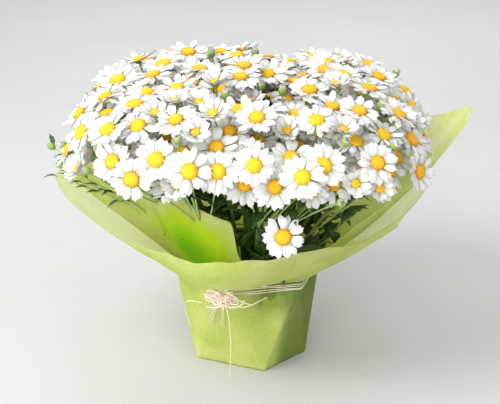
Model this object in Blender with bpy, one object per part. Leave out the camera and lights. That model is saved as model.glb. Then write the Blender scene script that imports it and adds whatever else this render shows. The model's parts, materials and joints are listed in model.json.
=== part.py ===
"""Bunch of daisies standing in a paper-wrapped pot, in metres.

+Z is up, the origin is the middle of the flat face that the wrap stands on, and the
front, with the raffia knot and the low edge of the paper, looks along -Y.

A turned pot holds the soil.  Two sheets of paper go under the pot, stand up against it
in flat facets to a tied neck, and open above the neck into a skirt with two wings.  The
plants fill a dome: sprays of daisies rise from the soil and leafy shoots stand around
them.  A raffia band, its knot and three loose tails go round the neck.

Angles round the pot are in degrees from the front, positive towards +X.
"""

import math
import random

import bpy
from mathutils import Vector

GAP = 0.0003

# Pot and soil
POT_HEIGHT = 0.105
POT_FOOT_RADIUS = 0.046
POT_RADIUS_UNDER_RIM = 0.0575
POT_RIM_RADIUS = 0.0600
POT_RIM_DEPTH = 0.010
POT_WALL = 0.0018
POT_DRAIN_RADIUS = 0.006
POT_RIM_CHAMFER = 0.001
SOIL_TOP = 0.095
SOIL_RISE = 0.003
SOIL_CROWN_RADIUS = 0.035
SOIL_CROWN_DROP = 0.0006
ROUND_SIDES = 30

# Paper
PAPER = 0.0006
PAPER_LAYER_GAP = 0.0004
NECK_HEIGHT = 0.098
NECK_LAYER_RISE = 1.3
# Corners of the folded paper, (angle, radius): on the ground, and at the neck between them
GROUND_CORNERS = ((-60, 0.060), (15, 0.060), (75, 0.061), (128, 0.060), (188, 0.060), (245, 0.060))
NECK_CORNERS = ((-22, 0.075), (42, 0.076), (98, 0.075), (155, 0.075), (215, 0.075), (272, 0.076))
SHEET_COLUMNS = 48
FACET_ROWS = 3
SKIRT_ROWS = 5
# Skirt stations: angle, radius and height that the sheet leans towards, radius and height of its edge
OUTER_SKIRT = (
    (-180, 0.148, 0.126, 0.175, 0.180),
    (-150, 0.148, 0.126, 0.170, 0.175),
    (-120, 0.152, 0.128, 0.178, 0.174),
    (-97, 0.158, 0.132, 0.196, 0.178),
    (-75, 0.128, 0.130, 0.160, 0.162),
    (-50, 0.108, 0.118, 0.140, 0.152),
    (-25, 0.126, 0.112, 0.132, 0.152),
    (0, 0.130, 0.118, 0.130, 0.153),
    (30, 0.126, 0.132, 0.142, 0.165),
    (58, 0.130, 0.136, 0.160, 0.165),
    (75, 0.134, 0.136, 0.154, 0.158),
    (95, 0.168, 0.134, 0.186, 0.186),
    (125, 0.165, 0.130, 0.184, 0.188),
    (150, 0.150, 0.128, 0.172, 0.182),
)
INNER_SKIRT = (
    (-180, 0.126, 0.136, 0.166, 0.200),
    (-150, 0.126, 0.136, 0.162, 0.196),
    (-120, 0.130, 0.138, 0.176, 0.200),
    (-98, 0.136, 0.140, 0.186, 0.190),
    (-86, 0.120, 0.140, 0.162, 0.180),
    (-74, 0.104, 0.138, 0.140, 0.188),
    (-60, 0.093, 0.134, 0.114, 0.192),
    (-50, 0.093, 0.131, 0.110, 0.177),
    (-42, 0.093, 0.128, 0.111, 0.186),
    (-27, 0.091, 0.126, 0.109, 0.180),
    (-18, 0.091, 0.122, 0.106, 0.178),
    (-12, 0.091, 0.114, 0.103, 0.166),
    (-7, 0.091, 0.110, 0.102, 0.146),
    (0, 0.092, 0.110, 0.101, 0.130),
    (15, 0.092, 0.112, 0.104, 0.128),
    (32, 0.100, 0.118, 0.116, 0.148),
    (55, 0.112, 0.130, 0.142, 0.178),
    (78, 0.128, 0.145, 0.186, 0.220),
    (93, 0.150, 0.150, 0.220, 0.254),
    (110, 0.142, 0.144, 0.200, 0.226),
    (135, 0.130, 0.138, 0.172, 0.200),
)

# Dome of flowers
DOME_CENTRE = 0.203
DOME_X = 0.172
DOME_Y = 0.160
DOME_Z = 0.096
DOME_POWER = 3.0
LOBE_DIP = 0.016
LOBE_DIP_X = 0.038
LOBE_DIP_WIDTH = 0.028
LEAN_UP = 0.30
LEAN_FRONT = 0.22
HEAD_RADIUS = 0.0190
HEAD_RISE = 0.0030
DISC_RADIUS = 0.0075
DISC_RISE = 0.0028
CUP_RADIUS = 0.0115
CUP_RISE = 0.0090
BUD_RADIUS = 0.0042
BUD_RISE = 0.0060
CALYX_RADIUS = 0.0028
PEDICEL_RADIUS = 0.0010
PEDICEL_KNEE = 0.006
PEDICEL_ROOT = 0.0012
STEM_RADIUS = 0.0019
STEM_PAST_FORK = 0.0015
HEAD_SIDES = 7
STEM_SIDES = 6
LAYER_STEP = 0.0085
LAYERS = 3
CLEAR = 0.0012
HEADS_CLOSEST = 0.010
HEADS_NEAR = 0.004
STALKS_NEAR = 0.110
HEAD_UNDER = 0.0015
HEAD_OVER = 0.0005
SPREAD_POINT = Vector((0.0, 0.0, 0.045))
SPRAYS = 27
SPRAY_LOWEST = 52
FORK_HIGHEST = 0.74
FORK_LOWEST = 0.36
FORK_DROP = 1.15
FORK_STEP = 0.006
FORK_MERGE = 0.35
SEED = 11

# Flowers that face the front, placed one by one: angle, height angle on the dome
FRONT_HEADS = (
    (2, 30), (8, 20), (-3, 20), (-17, 26), (4, 39), (16, 25), (15, 40), (-9, 27), (23, 29), (26, 39),
    (38, 25), (-11, 41), (39, 39), (-28, 30), (-35, 33), (-48, 36), (-42, 25), (-18, 37), (20, 18),
    (13, 10), (38, 15), (45, 35), (4, 52), (-4, 51), (-27, 46), (-42, 43), (28, 49), (45, 46),
    (-42, 50), (-4, 59), (11, 62), (-45, 61), (-35, 63), (25, 55), (44, 55), (53, 67), (71, 52),
    (-73, 45), (-82, 61), (-12, 79),
)
# Low flower that leans out under the dome's edge: angle, radius, height
LOW_HEADS = ((12, 0.150, 0.186),)
LOWEST_ANGLE = ((-180, 11), (-120, 12), (-90, 13), (-60, 16), (0, 15), (45, 9), (75, 14), (120, 15))

# Leafy shoots: angle, radius and height of the tip
SHOOTS = (
    (-106, 0.112, 0.160), (-86, 0.122, 0.176), (-69, 0.094, 0.158), (-6, 0.078, 0.146), (10, 0.084, 0.138),
    (27, 0.100, 0.146), (48, 0.104, 0.150), (70, 0.108, 0.160), (92, 0.112, 0.168), (118, 0.108, 0.160),
    (146, 0.104, 0.158), (174, 0.104, 0.158), (202, 0.104, 0.158), (230, 0.106, 0.158),
)
SHOOT_FOOT_RADIUS = 0.0435
SHOOT_KNEE = (0.0600, 0.1150)
SHOOT_RADIUS = 0.0012
SHOOT_FOOT_RISE = 0.0015
LEAF_LENGTH = 0.031
LEAF_WIDTH = 0.015
LEAF_THICKNESS = 0.0009
LEAF_DROP = 0.004
LEAF_PLACES = (0.15, 0.55, 0.93)
LEAF_SPREAD = 0.62
# Leaves that hang over the pot's rim inside the paper: angle, height of the tip
RIM_LEAVES = ((9, 0.064), (22, 0.078), (36, 0.080), (52, 0.076))
RIM_LEAF_WIDTH = 0.0125
# Where those leaves leave the pot, (radius, height), and how wide they are at each point on the way down
RIM_LEAF_START = ((0.0565, 0.1088), (0.0600, 0.1092), (0.0614, 0.1050), (0.0613, 0.0965))
RIM_LEAF_BEND = 0.0885
RIM_LEAF_OVER_RIM = 0.108
RIM_LEAF_SHARES = (0.15, 0.3, 0.5, 0.75, 1.0, 0.8, 0.1)

# Raffia
BAND_HEIGHT = 0.0060
BAND_THICKNESS = 0.0012
KNOT_ANGLE = -17
KNOT_SIZE = (0.019, 0.0075, 0.0065)
KNOT_OFF_BAND = 0.0022
KNOT_DROP = 0.004
KNOT_SIDES = 10
BAND_DROP = 0.001
TAIL_RADIUS = 0.0005
TAIL_POINTS = 20
TAIL_FRONT = (
    (-0.0200, -0.0925, 0.0860), (-0.0188, -0.0940, 0.0820), (-0.0180, -0.0930, 0.0740),
    (-0.0172, -0.0900, 0.0590), (-0.0165, -0.0860, 0.0420), (-0.0172, -0.0815, 0.0250),
    (-0.0180, -0.0775, 0.0060),
)
TAIL_LEFT = (
    (-0.0440, -0.0880, 0.0920), (-0.0500, -0.0870, 0.0925), (-0.0560, -0.0830, 0.0915),
    (-0.0600, -0.0770, 0.0870), (-0.0605, -0.0720, 0.0790), (-0.0590, -0.0690, 0.0680),
    (-0.0560, -0.0675, 0.0560),
)
TAIL_RIGHT = (
    (-0.0100, -0.0935, 0.0905), (-0.0050, -0.0950, 0.0905), (0.0010, -0.0955, 0.0920),
    (0.0070, -0.0945, 0.0945), (0.0125, -0.0925, 0.0965), (0.0165, -0.0895, 0.0975),
    (0.0190, -0.0870, 0.0965),
)

random_draws = random.Random(SEED)


# ---------------------------------------------------------------- scene and materials


def clear_scene():
    for thing in list(bpy.data.objects):
        bpy.data.objects.remove(thing, do_unlink=True)


def material(name, colour, roughness):
    made = bpy.data.materials.new(name)
    made.use_nodes = True
    shader = made.node_tree.nodes["Principled BSDF"]
    shader.inputs["Base Color"].default_value = (*colour, 1.0)
    shader.inputs["Roughness"].default_value = roughness
    return made


def add_object(name, mesh, finish):
    thing = bpy.data.objects.new(name, mesh)
    mesh.materials.append(finish)
    bpy.context.scene.collection.objects.link(thing)
    return thing


def mesh_from(name, points, faces):
    mesh = bpy.data.meshes.new(name)
    mesh.from_pydata([tuple(p) for p in points], [], faces)
    mesh.validate()
    mesh.update()
    return mesh


# ---------------------------------------------------------------- geometry helpers


def direction(angle):
    """Level unit vector at an angle round the pot from the front."""
    a = math.radians(angle)
    return Vector((math.sin(a), -math.cos(a), 0.0))


def at(angle, radius, height):
    return direction(angle) * radius + Vector((0.0, 0.0, height))


def around(stations, angle):
    """Values of stations round the pot at an angle, on a smooth closed curve."""
    rows = sorted(stations)
    count = len(rows)
    turn = (angle - rows[0][0]) % 360.0 + rows[0][0]
    k = max(i for i in range(count) if rows[i][0] <= turn)
    spots = []
    for j in (-1, 0, 1, 2):
        lap, index = divmod(k + j, count)
        spots.append((rows[index][0] + 360.0 * lap, rows[index][1:]))
    (a0, v0), (a1, v1), (a2, v2), (a3, v3) = spots
    span = a2 - a1
    t = (turn - a1) / span
    values = []
    for p0, p1, p2, p3 in zip(v0, v1, v2, v3):
        slope_1 = (p2 - p0) / (a2 - a0) * span
        slope_2 = (p3 - p1) / (a3 - a1) * span
        limit = 1.5 * abs(p2 - p1)
        slope_1 = max(-limit, min(limit, slope_1))
        slope_2 = max(-limit, min(limit, slope_2))
        h = t * t * (3.0 - 2.0 * t)
        values.append(p1 + (p2 - p1) * h + slope_1 * (t**3 - 2 * t * t + t) + slope_2 * (t**3 - t * t))
    return values


def facet_radius(angle, share):
    """Radius of the folded paper's outline at a share of the way up to the neck.

    The ground and neck corners join in flat triangles, so a level cut is a polygon
    whose corners lie on the creases.
    """
    corners = []
    count = len(GROUND_CORNERS)
    for i in range(count):
        neck = at(*NECK_CORNERS[i], 0.0)
        corners.append(at(*GROUND_CORNERS[i], 0.0).lerp(neck, share))
        corners.append(at(*GROUND_CORNERS[(i + 1) % count], 0.0).lerp(neck, share))
    ray = direction(angle)
    best = 0.0
    for i, first in enumerate(corners):
        second = corners[(i + 1) % len(corners)]
        edge = second - first
        cross = ray.x * edge.y - ray.y * edge.x
        if abs(cross) < 1e-12:
            continue
        reach = (first.x * edge.y - first.y * edge.x) / cross
        along = (first.x * ray.y - first.y * ray.x) / cross
        if reach > 0.0 and -1e-6 <= along <= 1.0 + 1e-6:
            best = max(best, reach)
    return best


def bend(start, lean, end, t):
    return [s * (1 - t) ** 2 + 2 * c * t * (1 - t) + e * t * t for s, c, e in zip(start, lean, end)]


def turned(name, profile, finish):
    """Solid of revolution of a closed profile of (radius, height) points, counter-clockwise."""
    points, faces = [], []
    count = len(profile)
    for i in range(ROUND_SIDES):
        angle = 360.0 * i / ROUND_SIDES
        points += [at(angle, radius, height) for radius, height in profile]
        for j in range(count):
            k = (i + 1) % ROUND_SIDES
            m = (j + 1) % count
            faces.append((i * count + j, k * count + j, k * count + m, i * count + m))
    return add_object(name, mesh_from(name, points, faces), finish)


def ring(centre, axis, radius, sides, twist=0.0):
    """Points of a circle about an axis, starting from a level direction."""
    level = Vector((-axis.y, axis.x, 0.0))
    level = level.normalized() if level.length > 1e-6 else Vector((1.0, 0.0, 0.0))
    other = axis.cross(level)
    steps = (math.tau * (k + twist) / sides for k in range(sides))
    return [centre + (level * math.cos(a) + other * math.sin(a)) * radius for a in steps]


def skin(name, rings, tip=None):
    """Closed mesh through rings of equal count; the last ring ends in a cap or at a tip."""
    sides = len(rings[0])
    points = [p for loop in rings for p in loop]
    faces = [tuple(reversed(range(sides)))]
    for r in range(len(rings) - 1):
        for k in range(sides):
            a, b = r * sides + k, r * sides + (k + 1) % sides
            faces.append((a, b, b + sides, a + sides))
    last = (len(rings) - 1) * sides
    if tip is None:
        faces.append(tuple(last + k for k in range(sides)))
    else:
        points.append(tip)
        faces += [(last + k, last + (k + 1) % sides, len(points) - 1) for k in range(sides)]
    return mesh_from(name, points, faces)


def united(name, meshes, finish):
    """One object from meshes that reach into the first of them, joined one after another."""
    base = add_object(name, meshes[0], finish)
    pieces = [bpy.data.objects.new(name + "_piece", mesh) for mesh in meshes[1:]]
    for piece in pieces:
        bpy.context.scene.collection.objects.link(piece)
        join = base.modifiers.new("union", "BOOLEAN")
        join.operation = "UNION"
        join.object = piece
        join.solver = "EXACT"
    bpy.context.view_layer.update()
    solid = bpy.data.meshes.new_from_object(base.evaluated_get(bpy.context.evaluated_depsgraph_get()))
    base.modifiers.clear()
    base.data = solid
    for piece in pieces:
        bpy.data.objects.remove(piece, do_unlink=True)
    return base


# ---------------------------------------------------------------- pot, soil, paper


def make_pot(finish):
    foot = 2 * (PAPER + PAPER_LAYER_GAP)
    top = foot + POT_HEIGHT
    shelf = top - POT_RIM_DEPTH
    profile = (
        (POT_DRAIN_RADIUS, foot),
        (POT_FOOT_RADIUS, foot),
        (POT_RADIUS_UNDER_RIM, shelf),
        (POT_RIM_RADIUS, shelf + POT_RIM_CHAMFER),
        (POT_RIM_RADIUS, top),
        (POT_RIM_RADIUS - POT_WALL, top),
        (POT_RADIUS_UNDER_RIM - POT_WALL, shelf),
        (POT_FOOT_RADIUS - POT_WALL, foot + POT_WALL),
        (POT_DRAIN_RADIUS, foot + POT_WALL),
    )
    turned("pot", profile, finish)


def pot_inner_radius(height):
    foot = 2 * (PAPER + PAPER_LAYER_GAP)
    share = (height - foot - POT_WALL) / (POT_HEIGHT - POT_RIM_DEPTH - POT_WALL)
    inner_top = POT_RADIUS_UNDER_RIM - POT_WALL
    inner_foot = POT_FOOT_RADIUS - POT_WALL
    return inner_foot + (inner_top - inner_foot) * share


def make_soil(finish):
    bottom = 2 * (PAPER + PAPER_LAYER_GAP) + POT_WALL + GAP
    gap = 3 * GAP
    rings = [
        ring(Vector((0, 0, bottom)), Vector((0, 0, 1)), pot_inner_radius(bottom) - gap, ROUND_SIDES),
        ring(Vector((0, 0, SOIL_TOP - SOIL_RISE)), Vector((0, 0, 1)),
             pot_inner_radius(SOIL_TOP - SOIL_RISE) - gap, ROUND_SIDES),
        ring(Vector((0, 0, SOIL_TOP - SOIL_CROWN_DROP)), Vector((0, 0, 1)), SOIL_CROWN_RADIUS, ROUND_SIDES),
    ]
    add_object("soil", skin("soil", rings, tip=Vector((0, 0, SOIL_TOP))), finish)


def sheet_profile(angle, skirt, inset, lift):
    """Radius and height of one sheet, from the ground's middle out and up to its edge."""
    neck = NECK_HEIGHT + NECK_LAYER_RISE * lift
    outline = []
    for share in (0.45, 1.0):
        outline.append((share * (facet_radius(angle, 0.0) - inset), lift))
    for k in range(1, FACET_ROWS + 1):
        share = k / FACET_ROWS
        height = lift + share * (neck - lift)
        outline.append((facet_radius(angle, share) - inset, height))
    lean_radius, lean_height, edge_radius, edge_height = around(skirt, angle)
    start = outline[-1]
    for k in range(1, SKIRT_ROWS + 1):
        t = k / SKIRT_ROWS
        outline.append(bend(start, (lean_radius, lean_height), (edge_radius, edge_height), t))
    return outline


def make_sheet(name, skirt, inset, lift, finish):
    """Sheet of paper: its outer side is the profile, and its thickness goes inwards."""
    points, faces = [Vector((0.0, 0.0, lift))], []
    rows = 0
    for i in range(SHEET_COLUMNS):
        angle = 360.0 * i / SHEET_COLUMNS - 180.0
        outline = sheet_profile(angle, skirt, inset, lift)
        rows = len(outline)
        points += [at(angle, radius, height) for radius, height in outline]
    for i in range(SHEET_COLUMNS):
        here, there = 1 + i * rows, 1 + (i + 1) % SHEET_COLUMNS * rows
        faces.append((0, there, here))
        for j in range(rows - 1):
            faces.append((here + j, there + j, there + j + 1, here + j + 1))
    sheet = add_object(name, mesh_from(name, points, faces), finish)
    wall = sheet.modifiers.new("paper", "SOLIDIFY")
    wall.thickness = PAPER
    wall.offset = -1.0
    return sheet


# ---------------------------------------------------------------- flowers


def dome_point(angle, height_angle, depth):
    """Place and outward direction on the flower dome, a depth below its surface."""
    a, h = math.radians(angle), math.radians(height_angle)
    unit = Vector((math.sin(a) * math.cos(h), -math.cos(a) * math.cos(h), math.sin(h)))
    unit /= sum(abs(c) ** DOME_POWER for c in unit) ** (1.0 / DOME_POWER)
    axes = (DOME_X, DOME_Y, DOME_Z)
    place = Vector([c * size for c, size in zip(unit, axes)])
    normal = Vector([c * abs(c) ** (DOME_POWER - 2.0) / size for c, size in zip(unit, axes)]).normalized()
    dip = math.exp(-(((place.x - LOBE_DIP_X) / LOBE_DIP_WIDTH) ** 2)) * max(0.0, unit.z) ** 2
    place.z += DOME_CENTRE - LOBE_DIP * dip
    return place - normal * depth, normal


def facing(normal, wobble):
    """Direction a flower looks: out of the dome, leaning to the light and to the front."""
    leaning = normal + Vector((0.0, -LEAN_FRONT, LEAN_UP)) + wobble
    return leaning.normalized()


def small_turn(amount):
    return Vector([random_draws.uniform(-amount, amount) for _ in range(3)])


def spray_axes():
    """Directions of the main stems, spread evenly over the cone that the dome fills."""
    low = math.sin(math.radians(SPRAY_LOWEST))
    axes = []
    for k in range(SPRAYS):
        rise = 1.0 - (1.0 - low) * (k + 0.5) / SPRAYS
        turn = math.radians(137.508) * k
        flat = math.sqrt(1.0 - rise * rise)
        axes.append(Vector((flat * math.sin(turn), -flat * math.cos(turn), rise)))
    return axes


def head_shape(kind):
    """Radius and rise of a flower's edge."""
    shapes = {
        "open": (HEAD_RADIUS, HEAD_RISE),
        "cup": (CUP_RADIUS, CUP_RISE),
        "bud": (BUD_RADIUS, BUD_RISE),
    }
    return shapes[kind]


def sample_head(flower):
    """Points over a flower's edge and middle, and along its pedicel, used to keep it clear."""
    radius, rise = head_shape(flower["kind"])
    edge = ring(flower["place"] + flower["look"] * rise, flower["look"], radius, 12)
    inner = ring(flower["place"] + flower["look"] * rise * 0.6, flower["look"], radius * 0.55, 6)
    shares = (0.15, 0.3, 0.45, 0.6, 0.7, 0.8, 0.88, 0.95)
    stalk = [flower["fork"].lerp(flower["place"], t) for t in shares]
    return edge + inner + [flower["place"]], stalk


def inside_head(point, flower, margin):
    """Whether a point is within a margin of a flower's lens-shaped solid."""
    radius, rise = head_shape(flower["kind"])
    offset = point - flower["place"]
    up = offset.dot(flower["look"])
    out = (offset - flower["look"] * up).length
    if out > radius + margin:
        return False
    floor = rise * min(1.0, out / radius)
    ceiling = max(rise, DISC_RISE + HEAD_RISE) + HEAD_OVER
    return floor - HEAD_UNDER - margin < up < ceiling + margin


def rods_apart(a, b, c, d):
    """Least distance between the straight lines a-b and c-d."""
    u, v, w = b - a, d - c, a - c
    uu, uv, vv, uw, vw = u.dot(u), u.dot(v), v.dot(v), u.dot(w), v.dot(w)
    spread = uu * vv - uv * uv
    s = min(1.0, max(0.0, (uv * vw - vv * uw) / spread)) if spread > 1e-12 else 0.0
    t = min(1.0, max(0.0, (uv * s + vw) / vv))
    s = min(1.0, max(0.0, (uv * t - uw) / uu))
    return (w + u * s - v * t).length


def crowded(flower, others):
    body, stalk = sample_head(flower)
    for other in others:
        apart = (other["place"] - flower["place"]).length
        reach = head_shape(flower["kind"])[0] + head_shape(other["kind"])[0]
        if apart < reach + HEADS_NEAR:
            if apart < HEADS_CLOSEST:
                return True
            if any(inside_head(p, other, CLEAR) for p in body):
                return True
            if any(inside_head(p, flower, CLEAR) for p in other["body"]):
                return True
        if apart < STALKS_NEAR:
            if any(inside_head(p, other, PEDICEL_RADIUS + CLEAR) for p in stalk):
                return True
            if any(inside_head(p, flower, PEDICEL_RADIUS + CLEAR) for p in other["stalk"]):
                return True
            free = FORK_MERGE if other["spray"] == flower["spray"] else 0.0
            from_here = flower["fork"].lerp(flower["place"], free)
            from_there = other["fork"].lerp(other["place"], free)
            apart_there = rods_apart(from_here, flower["place"], from_there, other["place"])
            if apart_there < 2 * PEDICEL_RADIUS + CLEAR:
                return True
    return False


def try_flower(place, look, kind, axes, flowers):
    """Add a flower at a place if it is clear of all the others."""
    towards = (place - SPREAD_POINT).normalized()
    spray = max(range(len(axes)), key=lambda k: axes[k].dot(towards))
    earlier = sum(1 for f in flowers if f["spray"] == spray)
    share = FORK_HIGHEST - FORK_DROP * axes[spray].angle(towards) + FORK_STEP * (earlier % 3)
    share = max(FORK_LOWEST, share)
    fork = SPREAD_POINT + axes[spray] * (place - SPREAD_POINT).dot(axes[spray]) * share
    flower = {"place": place, "look": look, "kind": kind, "spray": spray, "fork": fork}
    if crowded(flower, flowers):
        return False
    flower["body"], flower["stalk"] = sample_head(flower)
    flowers.append(flower)
    return True


def add_at(angle, height_angle, wobble, kind, layers, axes, flowers):
    """Add a flower at a place on the dome, in the first layer down where it is clear."""
    for layer in range(layers):
        depth = LAYER_STEP * layer - (BUD_RISE if kind == "bud" else 0.0)
        place, normal = dome_point(angle, height_angle, depth)
        if try_flower(place, facing(normal, wobble), kind, axes, flowers):
            return


def arrange_flowers():
    """All flowers: the front ones by hand, then the dome filled layer by layer, then buds."""
    axes = spray_axes()
    flowers = []
    for angle, height_angle in FRONT_HEADS:
        add_at(angle, height_angle, small_turn(0.12), "open", LAYERS + 1, axes, flowers)
    for angle, radius, height in LOW_HEADS:
        look = (direction(angle) + Vector((0.0, -0.2, 0.35)) + small_turn(0.1)).normalized()
        try_flower(at(angle, radius, height), look, "open", axes, flowers)
    for kind, count, deepest in (("open", 330, LAYERS), ("cup", 260, LAYERS), ("bud", 90, 1)):
        for k in range(count):
            height_angle = math.degrees(math.asin(1.0 - (k + 0.5) / count))
            angle = (137.508 * k + 25.0) % 360.0 - 180.0
            wobble = small_turn(0.22)
            if height_angle < around(LOWEST_ANGLE, angle)[0]:
                continue
            add_at(angle, height_angle, wobble, kind, deepest, axes, flowers)
    return axes, flowers


def head_mesh(flower):
    """Pedicel and flower in one sweep: fork, bend, calyx, petal edge, disc, apex."""
    radius, rise = head_shape(flower["kind"])
    place, look, fork = flower["place"], flower["look"], flower["fork"]
    along = (place - fork).normalized()
    knee = place - look * PEDICEL_KNEE
    middle = (along + look).normalized()
    rings = [
        ring(fork - along * PEDICEL_ROOT, along, PEDICEL_RADIUS, HEAD_SIDES),
        ring(knee, middle, PEDICEL_RADIUS, HEAD_SIDES),
        ring(place, look, min(CALYX_RADIUS, radius * 0.6), HEAD_SIDES),
        ring(place + look * rise, look, radius, HEAD_SIDES),
    ]
    top = place + look * (rise + DISC_RISE * 0.6)
    if flower["kind"] == "open":
        rings.append(ring(place + look * (rise + 0.0003), look, DISC_RADIUS, HEAD_SIDES))
        top = place + look * (rise + DISC_RISE)
    return skin("flower", rings, tip=top)


def make_sprays(axes, flowers, finish):
    """One object for each main stem with its pedicels and flowers."""
    number = 0
    for spray, axis in enumerate(axes):
        own = [f for f in flowers if f["spray"] == spray]
        if not own:
            continue
        number += 1
        top = max((f["fork"] - SPREAD_POINT).length for f in own) + STEM_PAST_FORK
        low = (SOIL_TOP + GAP - SPREAD_POINT.z + STEM_RADIUS) / axis.z
        rings = [
            ring(SPREAD_POINT + axis * d, axis, r, STEM_SIDES)
            for d, r in ((low, STEM_RADIUS), (top, STEM_RADIUS * 0.85))
        ]
        meshes = [skin("stem", rings)] + [head_mesh(f) for f in own]
        united(f"daisy_spray_{number:02d}", meshes, finish)


# ---------------------------------------------------------------- leaves


def leaf_mesh(base, along, face):
    """Pointed leaf blade from its base, as a thin closed solid."""
    side = along.cross(face).normalized()
    face = side.cross(along).normalized()
    half = LEAF_WIDTH / 2
    widths = ((0.0, 0.15), (0.35, 0.95), (0.7, 0.9), (1.0, 0.08))
    rings = []
    for share, width in widths:
        drop = -LEAF_DROP * share * share
        middle = base + along * LEAF_LENGTH * share + Vector((0, 0, drop))
        reach = side * half * width
        rings.append([
            middle - reach, middle - face * LEAF_THICKNESS / 2,
            middle + reach, middle + face * LEAF_THICKNESS / 2,
        ])
    return skin("leaf", rings)


def make_shoots(finish):
    """Leafy shoots around the sprays, each a stem with leaves on alternate sides."""
    for number, (angle, radius, height) in enumerate(SHOOTS, start=1):
        foot = at(angle, SHOOT_FOOT_RADIUS, SOIL_TOP + SHOOT_FOOT_RISE)
        knee = at(angle, *SHOOT_KNEE)
        tip = at(angle, radius, height)
        axis = (tip - knee).normalized()
        rise = (knee - foot).normalized()
        stem = [
            ring(foot, rise, SHOOT_RADIUS, STEM_SIDES),
            ring(knee, (rise + axis).normalized(), SHOOT_RADIUS, STEM_SIDES),
            ring(tip, axis, SHOOT_RADIUS * 0.7, STEM_SIDES),
        ]
        meshes = [skin("stem", stem)]
        sideways = direction(angle + 90.0)
        face = sideways.cross(axis)
        face = face if face.z > 0 else -face
        for step, share in enumerate(LEAF_PLACES):
            turn = 1.0 if step % 2 else -1.0
            along = (axis * 0.8 + sideways * turn * LEAF_SPREAD).normalized()
            meshes.append(leaf_mesh(knee.lerp(tip, share), along, face))
        united(f"leaf_shoot_{number:02d}", meshes, finish)


def make_rim_leaves(finish):
    """Leaves that hang over the pot's rim between the pot and the paper."""
    layers = 2 * PAPER + PAPER_LAYER_GAP
    for number, (angle, tip) in enumerate(RIM_LEAVES, start=1):
        side = direction(angle + 90.0)
        route = list(RIM_LEAF_START)
        for height in (RIM_LEAF_BEND, (RIM_LEAF_BEND + tip) / 2, tip):
            pot = pot_inner_radius(height) + POT_WALL
            paper = facet_radius(angle, height / NECK_HEIGHT) - layers
            route.append(((pot + paper) / 2, height))
        rings = []
        for (radius, height), width in zip(route, RIM_LEAF_SHARES):
            middle = at(angle, radius, height)
            reach = side * RIM_LEAF_WIDTH / 2 * width
            thick = direction(angle) * LEAF_THICKNESS / 2
            if height > RIM_LEAF_OVER_RIM:
                thick = Vector((0.0, 0.0, LEAF_THICKNESS / 2))
            rings.append([middle - reach, middle - thick, middle + reach, middle + thick])
        add_object(f"rim_leaf_{number}", skin("leaf", rings), finish)


# ---------------------------------------------------------------- raffia


def make_band(finish):
    """Raffia wound round the neck, a closed strap that follows the folded paper."""
    points, faces = [], []
    for i in range(SHEET_COLUMNS):
        angle = 360.0 * i / SHEET_COLUMNS - 180.0
        for radius, height in band_section(angle):
            points.append(at(angle, radius, height))
    for i in range(SHEET_COLUMNS):
        here, there = i * 4, (i + 1) % SHEET_COLUMNS * 4
        for j in range(4):
            k = (j + 1) % 4
            faces.append((here + j, there + j, there + k, here + k))
    add_object("raffia_band", mesh_from("raffia_band", points, faces), finish)


def band_section(angle):
    """The strap's corners at an angle, low inner corner first, against the paper's side."""
    top = NECK_HEIGHT - BAND_DROP
    bottom = top - BAND_HEIGHT
    inner = max(facet_radius(angle, bottom / NECK_HEIGHT), facet_radius(angle, 1.0)) + 2 * GAP
    outer = inner + BAND_THICKNESS
    return ((inner, bottom), (outer, bottom), (outer, top), (inner, top))


def make_knot(finish):
    """Lumpy knot of raffia in front of the band."""
    wide, deep, tall = KNOT_SIZE
    out = direction(KNOT_ANGLE)
    side = direction(KNOT_ANGLE + 90.0)
    radius = facet_radius(KNOT_ANGLE, 0.95) + BAND_THICKNESS + deep + 4 * GAP
    centre = at(KNOT_ANGLE, radius + KNOT_OFF_BAND, NECK_HEIGHT - KNOT_DROP)
    rings = []
    for share in (-0.9, -0.45, 0.0, 0.5, 0.9):
        round_off = math.sqrt(1.0 - share * share) * (1.0 + 0.10 * math.sin(7.0 * share))
        steps = [math.tau * k / KNOT_SIDES for k in range(KNOT_SIDES)]
        rings.append([
            centre + side * wide * share + out * deep * round_off * math.sin(a)
            + Vector((0, 0, tall)) * round_off * math.cos(a) for a in steps
        ])
    add_object("raffia_knot", skin("raffia_knot", rings), finish)


def smooth_route(points, count):
    """Evenly counted points on a smooth curve through hand-set points."""
    ends = [points[0] * 2 - points[1]] + points + [points[-1] * 2 - points[-2]]
    route = []
    for k in range(count):
        place = (len(points) - 1) * k / (count - 1)
        i = min(int(place), len(points) - 2)
        t = place - i
        p0, p1, p2, p3 = ends[i:i + 4]
        route.append(0.5 * (2 * p1 + (p2 - p0) * t + (2 * p0 - 5 * p1 + 4 * p2 - p3) * t * t
                            + (3 * p1 - p0 - 3 * p2 + p3) * t ** 3))
    return route


def make_tail(name, route, finish):
    """One loose strand of raffia, a thin tube along its hanging route."""
    curve = bpy.data.curves.new(name, "CURVE")
    curve.dimensions = "3D"
    curve.bevel_depth = TAIL_RADIUS
    curve.bevel_resolution = 2
    curve.use_fill_caps = True
    line = curve.splines.new("POLY")
    places = smooth_route([Vector(p) for p in route], TAIL_POINTS)
    line.points.add(len(places) - 1)
    for point, place in zip(line.points, places):
        point.co = (*place, 1.0)
    add_object(name, curve, finish)


# ---------------------------------------------------------------- the whole object


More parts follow.
